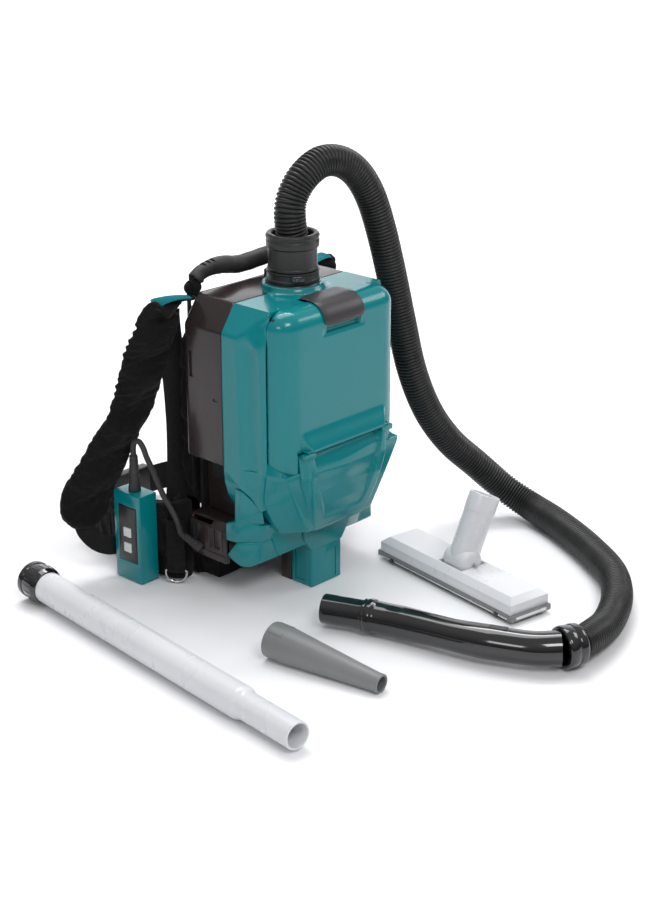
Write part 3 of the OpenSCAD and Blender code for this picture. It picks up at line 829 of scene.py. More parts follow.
def make_front_ring():
    """Teal ring with scalloped shoulders between the rear shell and the cover."""
    steps_y = 44
    steps_z = 110
    rows = []
    for i in range(steps_y + 1):
        y = SPLIT_Y - 0.3 + (SEAM_Y - SPLIT_Y + 0.3) * (i / steps_y)
        edge = 0.45 * max(0.0, 1 - i / 1.5)
        side = []
        bottom = ring_bottom(y)
        for k in range(steps_z + 1):
            z = bottom + (TOP - bottom) * (k / steps_z)
            x = blend_high(ring_inset(y, z), chamfer_x(z), 2.4)
            side.append((x + edge, z))
        left = [(-HALF_W + x, min(z, TOP - edge)) for x, z in side]
        across = 30
        start = left[-1][0]
        middle = [(start * (1 - 2 * k / across), TOP - edge) for k in range(1, across)]
        right = [(-x, z) for x, z in reversed(left)]
        rows.append([(x, y, z) for x, z in left + middle + right])
    ring = teal_sheet("front_ring", rows, 42)
    thicken(ring, FRONT_WALL, 42)
    cut_box(ring, (-35.8, -30, 352), (35.8, -11.8, 372))
    cut_round(ring, (0, NECK_Y, 352), NECK_HOLE, 30)
    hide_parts("front_housing")
    for side in (-1, 1):
        outer = [point for point in rows[-1] if point[0] * side > 70]
        inner = [cover_edge(x, y + 0.9, z) for x, y, z in outer]
        deep = [(x, y + 5, z) for x, y, z in inner]
        thicken(teal_sheet("ring_flange", [outer, inner, deep], 42), FLANGE_WALL, 42, offset=0)


def make_neck_base():
    """Flared teal collar that lifts the hose neck off the flat top; the flare is on the front half only."""
    profile = [(26.5, 362), (50, 362.4), (47, 363.2), (43, 363.9), (40, 365), (38, 367), (36.9, 369.2),
               (36.3, 370.2), (35.4, 370.8), (27, 370.8), (26.5, 362)]
    steps = 120
    rows = []
    for r, z in profile:
        row = []
        for k in range(steps):
            angle = 2 * math.pi * k / steps
            front = 1 - ease(math.sin(angle), -0.3, 0.1)
            spread = r if r < 36.5 else 36.5 + (r - 36.5) * (0.14 + 0.86 * front)
            row.append((spread * math.cos(angle), NECK_Y + spread * math.sin(angle), z))
        rows.append(row)
    base = teal_sheet("neck_base", rows, 40, close_rows=True)
    cut_box(base, (-36.5, -30, 352), (36.5, -11.4, 372))


# ---------------------------------------------------------------- cover, latch and hose neck

FRONT_Y = -54
COVER_HALF = 99
COVER_SIDE_R = 28
COVER_TOP_R = 22
LIP_Z = 195.8
LIP_HALF = 77.4
LIP_REACH = 10.0


def box_mask(x, z, low, high, soft):
    """1 inside a rectangle and 0 outside, with edges that fade over soft."""
    across = ease(x, low[0] - soft, low[0]) * (1 - ease(x, high[0], high[0] + soft))
    return across * ease(z, low[1] - soft, low[1]) * (1 - ease(z, high[1], high[1] + soft))


def cover_point(s, t):
    """Place on the cover's outside for s from -1 to 1 across and t from 0 to 1 up."""
    flat, rise = 0.72, 0.9
    u = math.sin(math.pi / 2 * max(0.0, abs(s) - flat) / (1 - flat))
    w = math.sin(math.pi / 2 * max(0.0, t - rise) / (1 - rise))
    ur = u * math.sqrt(1 - w * w / 2)
    wr = w * math.sqrt(1 - u * u / 2)
    total = min(1.0, ur * ur + wr * wr)
    radius = (COVER_SIDE_R * ur * ur + COVER_TOP_R * wr * wr) / total if total > 1e-9 else COVER_SIDE_R
    y = FRONT_Y + radius * (1 - math.sqrt(1 - total))
    x = min(abs(s), flat) / flat * (COVER_HALF - COVER_SIDE_R) + COVER_SIDE_R * ur
    low = 168.9 + 15 * (1 - math.sqrt(1 - u * u))
    turn = TOP - COVER_TOP_R
    z = low + (turn - low) * min(t, rise) / rise + COVER_TOP_R * wr
    edge = 77 - 0.28 * (222 - z)
    lip = ease(222 - z, 0, 26) * (1 - ease(x, edge - 9, edge)) if z > LIP_Z - 6 else 0.0
    y -= LIP_REACH * lip
    if z < 352:
        y += 4.4 * box_mask(x, z, (-1, 331), (27.5, 349), 1.6)
        y += 1.0 * box_mask(x, z, (-1, 329), (33, 333), 3.0)
    return (math.copysign(x, s) if s else 0.0), min(y, SEAM_Y - 0.4), z


def make_cover():
    across, up = 168, 176
    rows = []
    for k in range(up + 1):
        t = k / up
        rows.append([cover_point(-1 + 2 * i / across, t) for i in range(across + 1)])
    under = [(x, SEAM_Y - 0.4, z) for x, y, z in rows[0]]
    inner = [(x, min(y + 1.0, SEAM_Y - 0.4), z - 0.4) for x, y, z in rows[0]]
    back = [(x, SEAM_Y - 0.4, z) for x, y, z in rows[-1]]
    mesh = grid_mesh("cover_shell", [under, inner] + rows + [back])
    with editing(mesh) as bm:
        middles = [(face, face.calc_center_median()) for face in bm.faces]
        gone = [face for face, at in middles if abs(at.x) < LIP_HALF * MM and at.z < LIP_Z * MM]
        bmesh.ops.delete(bm, geom=gone, context="FACES")
    cover = new_object("cover_shell", mesh, "housing_teal", "cover", 38)
    thicken(cover, COVER_WALL, 38)
    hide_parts("front_cover")
    low, high = (-70, -62.5, LIP_Z), (70, -48, LIP_Z + 2.2)
    box_piece("cover_lip_underside", low, high, "housing_teal", "cover", 0.9)


def make_latch():
    middle = (FRONT_Y + COVER_TOP_R, TOP - COVER_TOP_R)
    line = [Vector((0, y, 364.95)) for y in (-14.2, -17, -20, -24, -28)]
    for i in range(25):
        angle = math.pi / 2 * i / 24
        line.append(Vector((0, middle[0] - 23.9 * math.sin(angle), middle[1] + 23.9 * math.cos(angle))))
    line.append(Vector((0, -56.1, 339.4)))
    line = resample(line, 1.2)
    length = route_length(line)

    def corner(reach, radius):
        """How far a rounded corner draws the edge in, at a distance from the strip's end."""
        return radius * (1 - math.sqrt(max(0.0, 1 - (1 - reach / radius) ** 2))) if reach < radius else 0.0

    def width(share):
        run = share * length / MM
        return 68 - 2 * corner(length / MM - run, 7.0) - 2 * corner(run, 3.0)

    mesh = ribbon_mesh("latch_look", line, width, 2.7, (1, 0, 0), across=24)
    latch = new_object("latch_look", mesh, "latch_grey", "latch", 40)
    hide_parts("latch")
    box_piece("latch_pull", (-22, -57.6, 341.2), (22, -56.6, 343.2), "latch_grey", "latch", 0.45)


def make_neck():
    at = Matrix.Translation(mm(0, NECK_Y, 0))

    def spin(piece, degrees):
        piece.data.transform(at @ Matrix.Rotation(math.radians(degrees), 4, "Z"))

    flange = round_profile([(27, 360), (33.2, 360), (33.2, 370), (31.8, 372.4), (27, 372.4)], 0.6)
    sleeve = round_profile([(26, 373.2), (28.3, 373.2), (28.3, 386.6), (29.9, 387), (29.9, 389.6),
                            (29.1, 390.4), (29.1, 412.6), (31.3, 414), (31.5, 421.5), (30.7, 422.2),
                            (30.7, 424), (31.3, 424.7), (31.2, 428.3), (29.6, 430), (26.2, 430),
                            (24.6, 428.6), (23.6, 422), (23.6, 416)], 0.45)
    ring = round_profile([(28.8, 373.0), (31.9, 373.0), (32.0, 376.5), (30.8, 377.3), (30.8, 383.4),
                          (31.6, 384), (31.4, 385.8), (28.8, 385.9)], 0.4)
    turned_piece("inlet_flange_look", flange, at, "satin_black", "pack", 96, 32, "inlet_flange")
    turned_piece("hose_sleeve_look", sleeve, at, "satin_black", "pack", 96, 32, "hose_sleeve")
    for degrees in range(20, 380, 60):
        lug = box_piece("sleeve_lug", (30.2, -4, 424.6), (31.6, 4, 427.4), "satin_black", "pack", 0.4)
        spin(lug, degrees)
    turned_piece("lock_ring_look", ring, at, "satin_black", "lock_ring", 96, 32, "lock_ring")
    for degrees in (235, 355, 115):
        for name, low, high, round_mm in (("lock_ring_lug", (30.4, -7.5, 374.4), (33.6, 7.5, 384.2), 0.9),
                                          ("lock_ring_step", (31.6, -4.2, 376.6), (34.3, 2.0, 381.8), 0.8)):
            spin(box_piece(name, low, high, "gloss_black", "lock_ring", round_mm), degrees)


# ---------------------------------------------------------------- lower housing

def blend_table(z, table):
    """Straight-line reading of a list of (z, value) sorted downward in z."""
    for (z1, a), (z2, b) in zip(table, table[1:]):
        if z >= z2:
            t = min(1.0, max(0.0, (z1 - z) / (z1 - z2)))
            return a + (b - a) * t
    return table[-1][1]


def make_lower_shell():
    levels = [
        (171, (-114.4, 4), (-102.5, -24), (-98.2, -53.4)),
        (166, (-114.2, 4), (-102.8, -24.6), (-97.8, -53.8)),
        (150, (-113, 3), (-104.5, -25.6), (-89, -52.8)),
        (132, (-108, 2), (-105, -26.3), (-79, -51.4)),
        (110, (-92, 2), (-93, -26.8), (-66.5, -49.7)),
        (88.5, (-78, 2), (-80, -27), (-54, -48)),
    ]
    rows = []
    for z, side, crease, corner in levels:
        left = [(side[0], SPLIT_Y - 0.3), side, crease, corner, (-20, corner[1])]
        row = left + [(-x, y) for x, y in reversed(left)]
        rows.append([(x, y, z) for x, y in row])
    rows.append([(x * 0.9, y + (6 if y < -20 else 0), 88.3) for x, y, z in rows[-1]])
    shell = teal_sheet("lower_shell", rows, 25)
    bevel(shell, 2.6, 4, 7.0)
    thicken(shell, FRONT_WALL, 40)
    for flip in (-1, 1):
        edge = [(-103.5, -24, 171), (-102.6, -25.5, 170), (-98.2, -53.4, 170.6), (-70, -53.6, 168.4)]
        outer = resample([Vector(p) for p in edge], 2.0)
        inner = []
        for i in range(len(outer)):
            angle = math.pi / 2 * (1 - i / (len(outer) - 1))
            u = math.sin(angle)
            v = math.cos(angle)
            inner.append((-71 - 28.3 * u, SEAM_Y - 28.2 * v, 168.4 + 15 * (1 - v)))
        core = [(x * 0.965, y + 3, z) for x, y, z in inner]
        rows = [[(-flip * x, y, z) for x, y, z in row] for row in (outer, inner, core)]
        teal_sheet("shell_ledge", rows, 30)


BUMP_FRONT = [(192, -60.6), (188, -62.0), (178, -63.2), (165, -63.4), (140, -60.8), (120, -57.3),
              (100, -51.5), (90, -47.5), (86, -45.5)]
BUMP_HALF = [(192, 76.4), (160, 74), (100, 57.5), (92, 54), (86, 50)]
PANEL_HALF = [(192, 60), (160, 54), (120, 40), (104, 35), (86, 34)]


def bump_y(x, z):
    """Front of the swollen lower panel, with a sloped border and a sunk plain badge field."""
    half = blend_table(z, BUMP_HALF)
    y = blend_table(z, BUMP_FRONT)
    border = ease(abs(x), half - 15, half)
    y += 8.5 * border * border
    inner = blend_table(z, PANEL_HALF)
    sunk = (1 - ease(abs(x), inner - 4, inner)) * ease(z, 101, 107)
    depth = 2.2 + 2.4 * ease(z, 112, 150) + 3.4 * ease(z, 171 + 0.1 * x, 187)
    swell = 2.2 * math.exp(-((x - 4) / 30) ** 2 - ((z - 160) / 16) ** 2)
    return y + sunk * (depth - swell)


def make_bump():
    across, up = 110, 90
    rows = []
    for k in range(up + 1):
        z = 86 + (191.2 - 86) * k / up
        half = blend_table(z, BUMP_HALF)
        row = [(-half, -38, z)]
        places = [half * (2 * i / across - 1) for i in range(across + 1)]
        row += [(x, bump_y(x, z), z) for x in places]
        row.append((half, -38, z))
        rows.append(row)
    floor = [(x * 0.94, max(y, -30), 85.6) for x, y, z in rows[0]]
    top = [(x * 0.99, min(y + 2.0, -38), 192) for x, y, z in rows[-1]]
    roof = [(x * 0.99, -38, 192) for x, y, z in rows[-1]]
    teal_sheet("lower_panel", [floor] + rows + [top, roof], 34)
    for x in (-1, 1):
        low, high = (x * 66.9 - 9.3, -63.6, 189), (x * 66.9 + 9.3, -57, 195.3)
        box_piece("hinge_ear", low, high, "housing_teal", "pack", 0.8)


HULL_EDGE_ANGLE = 8.0


def hull_piece(name, points, round_mm, flip=False, hollow=None):
    """Convex teal block around points, with merged flat faces and rounded edges."""
    mesh = bpy.data.meshes.new(name)
    with editing(mesh) as bm:
        for x, y, z in points:
            bm.verts.new(mm(-x if flip else x, y, z))
        result = bmesh.ops.convex_hull(bm, input=bm.verts)
        inner = result["geom_interior"] + result["geom_unused"]
        loose = [part for part in inner if isinstance(part, bmesh.types.BMVert)]
        bmesh.ops.delete(bm, geom=list(set(loose)), context="VERTS")
        bmesh.ops.dissolve_limit(bm, angle_limit=math.radians(2), verts=bm.verts, edges=bm.edges)
    piece = new_object(name, mesh, "housing_teal", "pack")
    bevel(piece, round_mm, 4, HULL_EDGE_ANGLE)
    if hollow:
        low, high = hollow
        x = sorted((-low[0], -high[0])) if flip else (low[0], high[0])
        cut_box(piece, (x[0], low[1], low[2]), (x[1], high[1], high[2]))


WEB = [(-114.2, 3, 146), (-107, -24.5, 126), (-99.5, -21, 104), (-114.4, 4, 106), (-112.5, 16, 146),
       (-114.2, 16, 100), (-92, 14, 100), (-95, 10, 126)]
WING_TOP = [(-114.4, 4, 108), (-100, -20, 103), (-87, -11, 98), (-97, -10.5, 78), (-114.4, 13, 76),
            (-114.4, 31.7, 97), (-28, 31.7, 92), (-28, -12, 92), (-28, -12, 74), (-28, 31.7, 74),
            (-114.4, 31.7, 74)]
WING_LOW = [(-97, -10.5, 79), (-114.4, 13, 77), (-114.4, 15, 54), (-112, 3, 44.5), (-101, 1, 46),
            (-99, -10, 52), (-60, -11.5, 52), (-28, -12.5, 60), (-28, -12.5, 85), (-28, 31.7, 85),
            (-114.4, 31.7, 54), (-28, 31.7, 60)]
APRON = [(-25, -26.4, 62), (-25, -26.4, 91), (-25, -10, 91), (-25, -10, 62), (-70, -12.5, 52.5),
         (-84, -14, 90), (-84, -8, 90), (-70, -8, 52.5)]
BROW = [(-39, -26.5, 67), (39, -26.5, 67), (-26.5, -26.5, 50), (26.5, -26.5, 50), (-41, -26.5, 90),
        (41, -26.5, 90), (-39, -12, 67), (39, -12, 67), (-26.5, -12, 50), (26.5, -12, 50), (-41, -12, 90),
        (41, -12, 90)]
BAY = ((-100, -2.5, 30), (-30, 58, 88))


def make_wings_and_foot():
    for flip in (False, True):
        hull_piece("side_web", WEB, 2.2, flip)
        hull_piece("wing_top", WING_TOP, 2.6, flip, BAY)
        hull_piece("wing_low", WING_LOW, 2.6, flip, BAY)
        hull_piece("apron", APRON, 1.2, flip)
    hull_piece("foot_brow", BROW, 1.6)
    foot = box_piece("foot_front", (-26, -26, 0.2), (26, 8.6, 90), "housing_teal", "pack", 2.2, 4)
    cut_box(foot, (14.5, -27, 4), (16.3, -24.6, 42))
    cut_box(foot, (-26.4, -14, 6), (-24.8, 2, 56))
    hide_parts("lower_housing")
    for flip in (-1, 1):
        cut_box(foot, (flip * 22 - 0.5, -27, 2), (flip * 22 + 0.5, -25.4, 3))


def make_battery_housing():
    bevelled_copy("battery_housing", "housing_black", "pack", 1.6)
    blocks = [("side_rib", y, y + 2.2, 55, 84) for y in (38.5, 60)] + [("side_band", 34, 93, 43.5, 52)]
    for x in (-113.2, 113.2):
        for name, near, far, low, high in blocks:
            box_piece(name, (x - 0.7, near, low), (x + 0.7, far, high), "housing_black", "pack", 0.6)


make_lower_shell()
make_bump()
make_wings_and_foot()
make_battery_housing()
make_rear_shell()
make_front_ring()
make_neck_base()
make_cover()
make_latch()
make_neck()

# ---------------------------------------------------------------- grab handle

GRIP_ROUTE = [(-85, 104, 374.5), (-78, 104.5, 380.5), (-59, 107, 383.5), (-34, 112, 381.5),
              (0, 118, 374.5), (34, 113, 378), (59, 107, 382.5), (78, 104.5, 380.5), (85, 104, 374.5)]


def make_handle():
    line = resample(spline(GRIP_ROUTE, 16), 1.5)

    def radius(_i, share):
        end = min(share, 1 - share) * route_length(line) / MM
        lip = 0.7 * math.exp(-((end - 3) / 2.0) ** 2)
        wave = 0.35 * math.sin(2 * math.pi * share * 9) * ease(end, 40, 60)
        edge = 1.2 * max(0.0, 1 - end / 1.5) ** 2
        return 8.9 + lip + 1.9 * ease(end, 8, 60) + 0.4 * wave - edge

    mesh = tube_mesh("rubber_grip", line, radius, 36, start=(0, 1, 0))
    grip = new_object("rubber_grip", mesh, "soft_rubber", "handle", 40)
    for side in (-1, 1):
        for x, z in ((72, 392.5), (64, 393.6), (56, 394.0)):
            cut_box(grip, (side * x - 2.2, 94, z - 3.2), (side * x + 2.2, 118, z + 3))
    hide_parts("handle_grip")
    bevelled_copy("handle_loops", "pad_fabric", "handle", 1.2)
    for side in (-1, 1):
        at = Matrix.Translation(mm(0, 104, 366.6)) @ Matrix.Rotation(side * math.pi / 2, 4, "Y")
        for near, far in ((78.8, 81.3), (84.4, 94.2), (97.3, 99.8)):
            steps = [near + (far - near) * k / 8 for k in range(9)]
            rim = [(9.2 * math.sqrt(max(0.05, 1 - ((x - 89.5) / 11.5) ** 2)), x) for x in steps]
            profile = [(0.01, near), *rim, (0.01, far)]
            turned_piece("loop_sleeve", profile, at, "pad_fabric", "handle", 40, 50)
    bevelled_copy("handle_brackets", "satin_black", "pack", 0.5)
    route = [(-117, 106, 357), (-104, 106, 356), (-90, 107, 354), (-50, 110, 352), (0, 110.5, 351.5),
             (50, 110, 352), (90, 107, 354), (104, 106, 356), (117, 106, 357)]
    strap_piece("top_strap", route, 1, (12, 2.0), (17, 2.4), (0, 1, 0.12), 0.4)


make_handle()

# ---------------------------------------------------------------- padded fabric

STRAP_ROUTE = [(-121, 99, 349), (-127, 110, 349), (-133, 120, 329), (-140, 134, 284), (-144, 154, 226),
               (-164, 178, 164), (-186, 196, 110), (-194, 202, 66)]
STRAP_HALF = [(0.0, 24), (0.04, 27), (0.12, 30), (0.28, 31.5), (0.43, 29), (0.55, 29.5), (0.68, 31.5),
              (0.86, 35), (1.0, 31)]


ALL_SMOOTH = 180
LEAST_PIN = 0.01
CLOTH_FRAMES = 20
CLOTH = {
    "quality": 4,
    "mass": 0.25,
    "tension_stiffness": 25,
    "compression_stiffness": 25,
    "shear_stiffness": 12,
    "bending_stiffness": 0.6,
    "use_pressure": True,
    "shrink_min": -0.06,
    "vertex_group_mass": "pinned",
}


def voxel_copy(name, mesh, size):
    """A padded piece with even small quads all over it, which is what the cloth solver needs."""
    thing = new_object(name, mesh, "pad_fabric", "pack", ALL_SMOOTH)
    remesh = thing.modifiers.new("voxels", "REMESH")
    remesh.mode = "VOXEL"
    remesh.voxel_size = size * MM
    remesh.use_smooth_shade = True
    apply_modifiers(thing, ALL_SMOOTH)
    return thing


def push_along_normals(mesh, distance):
    """Moves each vertex along its normal by distance(point in mm) millimetres."""
    normals = [v.normal.copy() for v in mesh.vertices]
    for v, normal in zip(mesh.vertices, normals):
        v.co += normal * (distance(v.co / MM) * MM)
    mesh.update()


def inflate(thing, pressure, cap, pinned):
    """Blows a closed cloth up a little, keeps its seams, and caps how far any vertex moves."""
    scene = bpy.context.scene
    mesh = thing.data
    start = [v.co.copy() for v in mesh.vertices]
    group = thing.vertex_groups.new(name="pinned")
    for v in mesh.vertices:
        weight = pinned(v.co / MM)
        if weight > LEAST_PIN:
            group.add([v.index], weight, "REPLACE")
    cloth = thing.modifiers.new("cloth", "CLOTH")
    settings = cloth.settings
    for key, value in CLOTH.items():
        setattr(settings, key, value)
    settings.uniform_pressure_force = pressure
    settings.effector_weights.gravity = 0
    cloth.collision_settings.use_collision = False
    cloth.collision_settings.use_self_collision = False
    cloth.point_cache.frame_start = 1
    cloth.point_cache.frame_end = CLOTH_FRAMES
    for frame_number in range(1, CLOTH_FRAMES + 1):
        scene.frame_set(frame_number)
    graph = bpy.context.evaluated_depsgraph_get()
    moved = thing.evaluated_get(graph).to_mesh()
    ends = [v.co.copy() for v in moved.vertices]
    thing.evaluated_get(graph).to_mesh_clear()
    thing.modifiers.clear()
    for v, a, b in zip(mesh.vertices, start, ends):
        step = b - a
        if step.length > cap * MM:
            step = step.normalized() * cap * MM
        v.co = a + step
    mesh.update()
    scene.frame_set(1)


def smooth_once(thing):
    subdivision = thing.modifiers.new("smooth", "SUBSURF")
    subdivision.levels = 1
    subdivision.render_levels = 1
    apply_modifiers(thing, ALL_SMOOTH)


def band(value, centre, width):
    return math.exp(-((value - centre) / width) ** 2)


def strap_mesh(flip):
    gap = 3.0
    line = resample(spline(STRAP_ROUTE, 12), gap)
    total = len(line) - 1
    around = 44
    rows = []
    for i, point in enumerate(line):
        share = i / total
        side, up = directions_at(line, i, Vector((-1, 0.25, 0)))
        half = strap_half(share)
        end = min(share + 0.02, 1 - share) * total * gap
        taper = math.sqrt(max(0.05, 1 - max(0.0, 1 - end / 9) ** 2))
        row = []
        for k in range(around):
            angle = 2 * math.pi * k / around
            c, q = math.cos(angle), math.sin(angle)
            across = math.copysign(abs(c) ** 0.62, c)
            depth = math.copysign(abs(q) ** 0.8, q)
            tip = min(1.0, (1 - share) * total * gap / 30)
            reach = half * (0.9 + 0.1 * taper) * across * math.sqrt(max(0.14, 1 - (1 - tip) ** 2))
            row.append(point + side * reach + up * ((6.2 + 1.3 * ease(share, 0.5, 0.9)) * depth * taper))
        rows.append(row)
    if flip:
        rows = [[Vector((-p.x, p.y, p.z)) for p in row] for row in rows]
    return grid_mesh("strap", rows, close_rows=True, close_ends=True)


def strap_half(share):
    for (a, low), (b, high) in zip(STRAP_HALF, STRAP_HALF[1:]):
        if share <= b:
            return low + (high - low) * (share - a) / (b - a)
    return STRAP_HALF[-1][1]


STRAP_SEAMS = (284, 226, 168, 116)
STRAP_PINNED_ABOVE = 340


def make_shoulder_strap(side, flip):
    """Padded shoulder strap: quilt seams across it and a gathered outer edge."""
    strap = voxel_copy(side + "_strap_look", strap_mesh(flip), 3.6)

    def seam(p):
        tilt = p.z + 0.25 * (abs(p.x) - 145)
        return max(band(tilt, z, 2.4) for z in STRAP_SEAMS)

    inflate(strap, 4.0, 7.0, lambda p: min(1.0, seam(p) + (1.0 if p.z > STRAP_PINNED_ABOVE else 0.0)))
    line = spline(STRAP_ROUTE, 6)

    def gathers(p):
        near = min(line, key=lambda q: (q.z - p.z) ** 2 + (q.x + abs(p.x)) ** 2 * 0.2)
        off = (abs(p.x) + near.x) / 31
        edge = ease(off, 0.35, 0.9)
        zone = max(ease(p.z, 284, 296) * (1 - ease(p.z, 328, 342)),
                   ease(p.z, 226, 236) * (1 - ease(p.z, 256, 266)))
        run = p.z + 5 * noise.noise(p * 0.03)
        ruffle = 2.6 * math.sin(run * 0.63 + 2 * noise.noise(p * 0.02)) * edge * zone
        soft = 1.1 * noise.noise(p * 0.06) + 0.5 * noise.noise(p * 0.16)
        return ruffle + soft - 1.9 * seam(p)

    push_along_normals(strap.data, gathers)
    smooth_once(strap)
    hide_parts(side + "_shoulder_strap")


def puffed_node(node, voxel, shrink, cap, pressure, seam, pinned):
    """Padded look of a soft CAD node, blown up from a slightly smaller copy."""
    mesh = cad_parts[node].data.copy()
    thing = voxel_copy(node + "_look", mesh, voxel)
    push_along_normals(thing.data, lambda p: -shrink)
    inflate(thing, pressure, cap, lambda p: max(pinned(p), seam(p)))
    push_along_normals(thing.data, lambda p: (0.7 * noise.noise(p * 0.05) + 0.4 * noise.noise(p * 0.15)
                                              - 1.6 * seam(p)))
    smooth_once(thing)
    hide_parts(node)


def make_pads():
    puffed_node("back_pad", 4.5, 1.8, 5.0, 4.0,
                lambda p: max(band(p.z, 175, 2.6), band(p.z, 262, 2.6), band(abs(p.x), 30, 2.2)),
                lambda p: 1.0 if p.y < 104 else 0.0)
    puffed_node("lumbar_pad", 4.2, 1.6, 4.0, 3.5,
                lambda p: max(band(abs(p.x), 48, 2.4), band(p.z, 44, 2.4) * ease(p.y, 100, 108)),
                lambda p: 1.0 if p.z < 4 or p.y < 79 else 0.0)
    for side in ("left", "right"):
        puffed_node(side + "_belt_wing", 3.8, 1.4, 4.0, 3.5,
                    lambda p: max(band(p.y, 150, 2.2), band(p.y, 222, 2.2)),
                    lambda p: 1.0 if p.y < 116 else 0.0)


def make_piping():
    """Corded edge of the back pad beside the housing, and the dark straps sewn down its sides."""
    for flip in (-1, 1):
        route = [(95, 103, 108), (95.6, 103, 180), (95.6, 103, 285), (88, 103, 315), (78, 103, 334),
                 (70, 103, 344)]
        line = mirrored_curve(route, flip, 14, 3.0)
        new_object("pad_piping", tube_mesh("pad_piping", line, 2.6, 14), "pad_fabric", "pack", 60)
        route = [(110, 126, 338), (109, 127, 322), (104, 128, 285), (99, 129, 245), (96, 129.5, 200),
                 (96, 129.5, 160), (100, 127, 122), (106, 123, 96), (108, 122, 76)]
        strap_piece("side_web", route, flip, (14, 3.0), (33, 3.0), (flip, 0.2, 0), 1.0)
        route = [(118, 117, 88), (107, 121, 89), (96, 123.6, 90), (70, 124, 92)]
        strap_piece("hip_web", route, flip, (8, 3.0), (38, 2.4), (0, 0, 1))


make_shoulder_strap("left", False)
make_shoulder_strap("right", True)
make_pads()
make_piping()

# ---------------------------------------------------------------- webbing, ring and remote

def cloth_cap(side, flip):
    """Smooth teal patch sewn over the crown of the strap."""
    route = [(-104, 100, 358.4), (-113, 100.5, 360.2), (-124, 102, 361.2), (-134, 104.5, 360.7),
             (-141, 107, 358.9), (-145.5, 109, 356)]
    wide = (-0.3 * flip, 1, 0)
    patch = strap_piece(side + "_cap_look", route, flip, (12, 2.0), (20, 1.6), wide, 1.8, "teal_cloth")
    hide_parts(side + "_strap_cap")


def make_webbing():
    for side, flip in (("left", -1), ("right", 1)):
        route = [(192, 201, 76), (188, 198, 60), (177, 192, 45), (160, 187, 36), (146, 184, 37),
                 (136, 183, 40)]
        web = strap_piece(side + "_lower_web", route, flip, (14, 1.5), (24, 2.2), (0, 0, 1))
        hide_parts(side + "_strap_webbing")
    half = [(104, 282, 33), (97, 298, 31.5), (86, 316, 29), (60, 331, 27), (32, 336, 26)]
    route = [(-x, y, z) for x, y, z in half] + [(0, 336.4, 26)] + half[::-1]
    belt = strap_piece("belt_web", route, 1, (14, 2.0), (38, 2.2), (0, 0, 1))
    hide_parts("belt_webbing")
    for node, slot, body, width in (("belt_buckle", "satin_black", "pack", 1.6),
                                    ("ring_tab", "webbing", "pack", 0.5),
                                    ("remote_case", "housing_teal", "pack", 3.4),
                                    ("remote_panel", "satin_black", "pack", 0.9),
                                    ("power_button", "button_white", "power_button", 0.9),
                                    ("mode_button", "button_white", "mode_button", 0.9)):
        bevelled_copy(node, slot, body, width, 4)


cloth_cap("left", 1)
cloth_cap("right", -1)
make_webbing()

# ---------------------------------------------------------------- wand and loose tools

WAND_ROUTE = [(8, -372, 25.5), (-12, -350, 25), (-30, -312, 25), (-43, -270, 24), (-51, -229, 23),
              (-59, -190, 22), (-70, -156, 22)]


def aim(at, *turns):
    """Placement from a point in millimetres and turns given as (axis, degrees)."""
    matrix = Matrix.Translation(mm(*at))
    for axis, degrees in turns:
        matrix = matrix @ Matrix.Rotation(math.radians(degrees), 4, axis)
    return matrix


def make_wand():
    line = resample(spline(WAND_ROUTE, 16), 2.0)

    def radius(_i, share):
        grip = 1.6 * math.exp(-((share - 0.36) / 0.13) ** 2)
        rim = 1.1 * ease(share, 0.955, 0.965) * (1 - ease(share, 0.99, 1.0))
        return 20.4 - 2.2 * math.sin(math.pi * share) + grip * 0.9 + rim - 0.9 * ease(share, 0.8, 0.9)

    mesh = tube_mesh("wand_look", line, radius, 64, start=(0, 0, 1))
    body = new_object("wand_look", mesh, "gloss_black", "pack", 50)
    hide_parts("wand_body")
    low = line[round(len(line) * 0.30)]
    ahead = (line[round(len(line) * 0.34)] - low).normalized()
    turn = ahead.to_track_quat("X", "Z").to_matrix().to_4x4()
    button = box_piece("wand_button", (-11, -4.5, 18.2), (11, 4.5, 20.6), "satin_black", "pack", 2.0, 5)
    button.data.transform(Matrix.Translation(low * MM) @ turn)
    tip = round_profile([(15, 2), (15, 54), (17.0, 54), (17.5, 53), (17.5, 4.6), (19.5, 4.0), (19.5, -1),
                         (15, -1)], 0.5)
    at = aim(WAND_ROUTE[-1], ("Z", 112.5), ("Y", 90))
    turned_piece("wand_tip_look", tip, at, "gloss_black", "pack", 80, 32, "wand_tip")


def make_pipe():
    at = aim((-270, 200, 23), ("Z", -96.1), ("Y", 90.5))
    outer = [(17.0, 61), (17.0, 30), (19.0, 30), (19.0, 398), (18.4, 401), (16.4, 405), (16.0, 408),
             (16.0, 488.6), (15.4, 490), (13.6, 490), (13.6, 61)]
    turned_piece("pipe_look", round_profile(outer, 0.5), at, "tool_white", "pipe", 96, 25, "pipe_tube")
    collar = [(17.6, 29), (17.6, -3.4), (18.4, -4), (21.6, -4), (22.6, -3), (22.6, 3), (21.4, 4),
              (21.4, 6.4), (22.4, 7.4), (22.4, 23), (21.8, 24.5), (20.2, 29.5), (19.2, 30)]
    turned_piece("pipe_collar_look", round_profile(collar, 0.45), at, "gloss_black", "pipe",
                 node="pipe_collar")
    ribs = 18
    for k in range(ribs):
        rib = box_piece("collar_rib", (21.9, -0.8, 9), (22.9, 0.8, 21), "gloss_black", "pipe", 0.35, 2)
        rib.data.transform(at @ Matrix.Rotation(2 * math.pi * k / ribs, 4, "Z"))


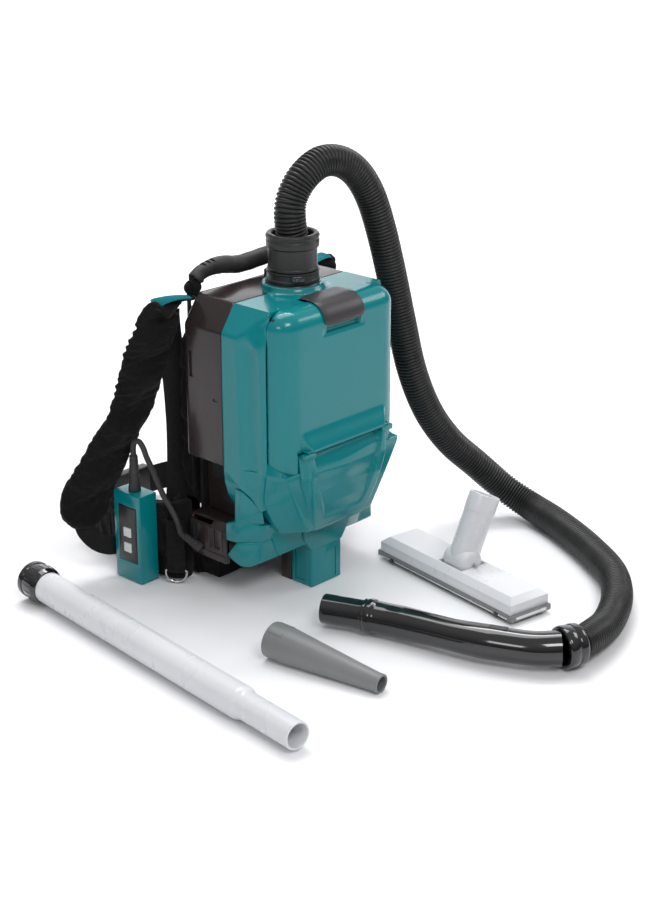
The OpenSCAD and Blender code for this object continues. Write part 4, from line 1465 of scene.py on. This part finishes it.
def make_crevice_tool():
    at = aim((-187, -117, 21.2), ("Z", -83), ("Y", 94))
    outer = [(17.6, 40), (17.6, 0.6), (18.2, 0), (20.4, 0), (21.0, 0.8), (21.0, 24), (20.7, 28),
             (16.8, 72), (13.4, 112), (11.1, 143), (11.3, 146), (11.3, 149), (10.7, 150), (9.2, 150),
             (8.7, 149), (9.4, 140), (16, 60)]
    profile = round_profile(outer, 1.2)
    turned_piece("crevice_look", profile, at, "tool_grey", "crevice_tool", node="crevice_nozzle")
    for k in (-1, 1):
        rib = box_piece("crevice_key", (20.4, -2.4, 3), (21.6, 2.4, 22), "tool_grey", "crevice_tool", 0.6)
        rib.data.transform(at @ Matrix.Rotation(math.radians(180 + 34 * k), 4, "Z"))


HEAD_LENGTH = 247


def make_floor_tool():
    at = aim((106, -152, 0), ("Z", -9.5))
    bevelled_copy("head_shell", "tool_white", "floor_head", 3.2, 5)
    bevelled_copy("head_sole", "tool_grey", "floor_head", 1.6, 3)
    lean = at @ Matrix.Translation(mm(0, 0, 34)) @ Matrix.Rotation(math.radians(24), 4, "Y")
    neck = [(16.6, 46), (16.6, 83.2), (17.2, 84), (18.4, 84), (19.0, 83.2), (19.0, 62), (18.5, 60),
            (18.3, 30), (18.6, 8), (18.0, 0), (14, -2)]
    turned_piece("neck_look", round_profile(neck, 0.8), lean, "tool_white", "floor_neck", node="nozzle_neck")
    ball = [(0.01, -20.6), (8, -20.6), (13.4, -19.6), (17.2, -15), (18.0, -9), (18.0, 9), (17.2, 15),
            (13.4, 19.6), (8, 20.6), (0.01, 20.6)]
    across = at @ Matrix.Translation(mm(0, 0, 34)) @ Matrix.Rotation(math.pi / 2, 4, "X")
    turned_piece("neck_ball", round_profile(ball, 3.0, 4), across, "tool_white", "floor_neck", 80)
    half = HEAD_LENGTH / 2
    trim = [("head_end_strip", (-24, y, 6), (24, y + 1.6, 10.5), "steel", 0.5)
            for y in (-half - 0.2, half - 1.4)]
    trim += [("head_side_strip", (x, -half + 8, 5.4), (x + 1.2, half - 8, 7.6), "steel", 0.4)
             for x in (-31.4, 30.2)]
    trim += [("head_clip", (-32.2, y - 3.5, 3.4), (-30, y + 3.5, 8.4), "satin_black", 0.7)
             for y in (-96, 96)]
    for name, low, high, slot, round_mm in trim:
        box_piece(name, low, high, slot, "floor_head", round_mm).data.transform(at)


make_wand()
make_pipe()
make_crevice_tool()
make_floor_tool()

# ---------------------------------------------------------------- finish

KEPT_NODES = {  # CAD nodes that keep their shape, by the material they are given
    "satin_black": ("battery_terminals", "fan_housing", "filter_deck", "bag_collar", "harness_frame"),
    "steel": ("motor", "housing_screws", "cover_hinge_pin", "latch_pin", "d_ring", "neck_pin"),
    "tool_grey": ("impeller",),
    "board": ("control_board",),
    "foam": ("exhaust_foam",),
    "filter_cloth": ("pre_filter",),
    "bag_cloth": ("dust_bag",),
    "soft_rubber": ("cover_gasket",),
    "bristle": ("head_brushes",),
}
for slot, nodes in KEPT_NODES.items():
    for node in nodes:
        dress(node, slot)
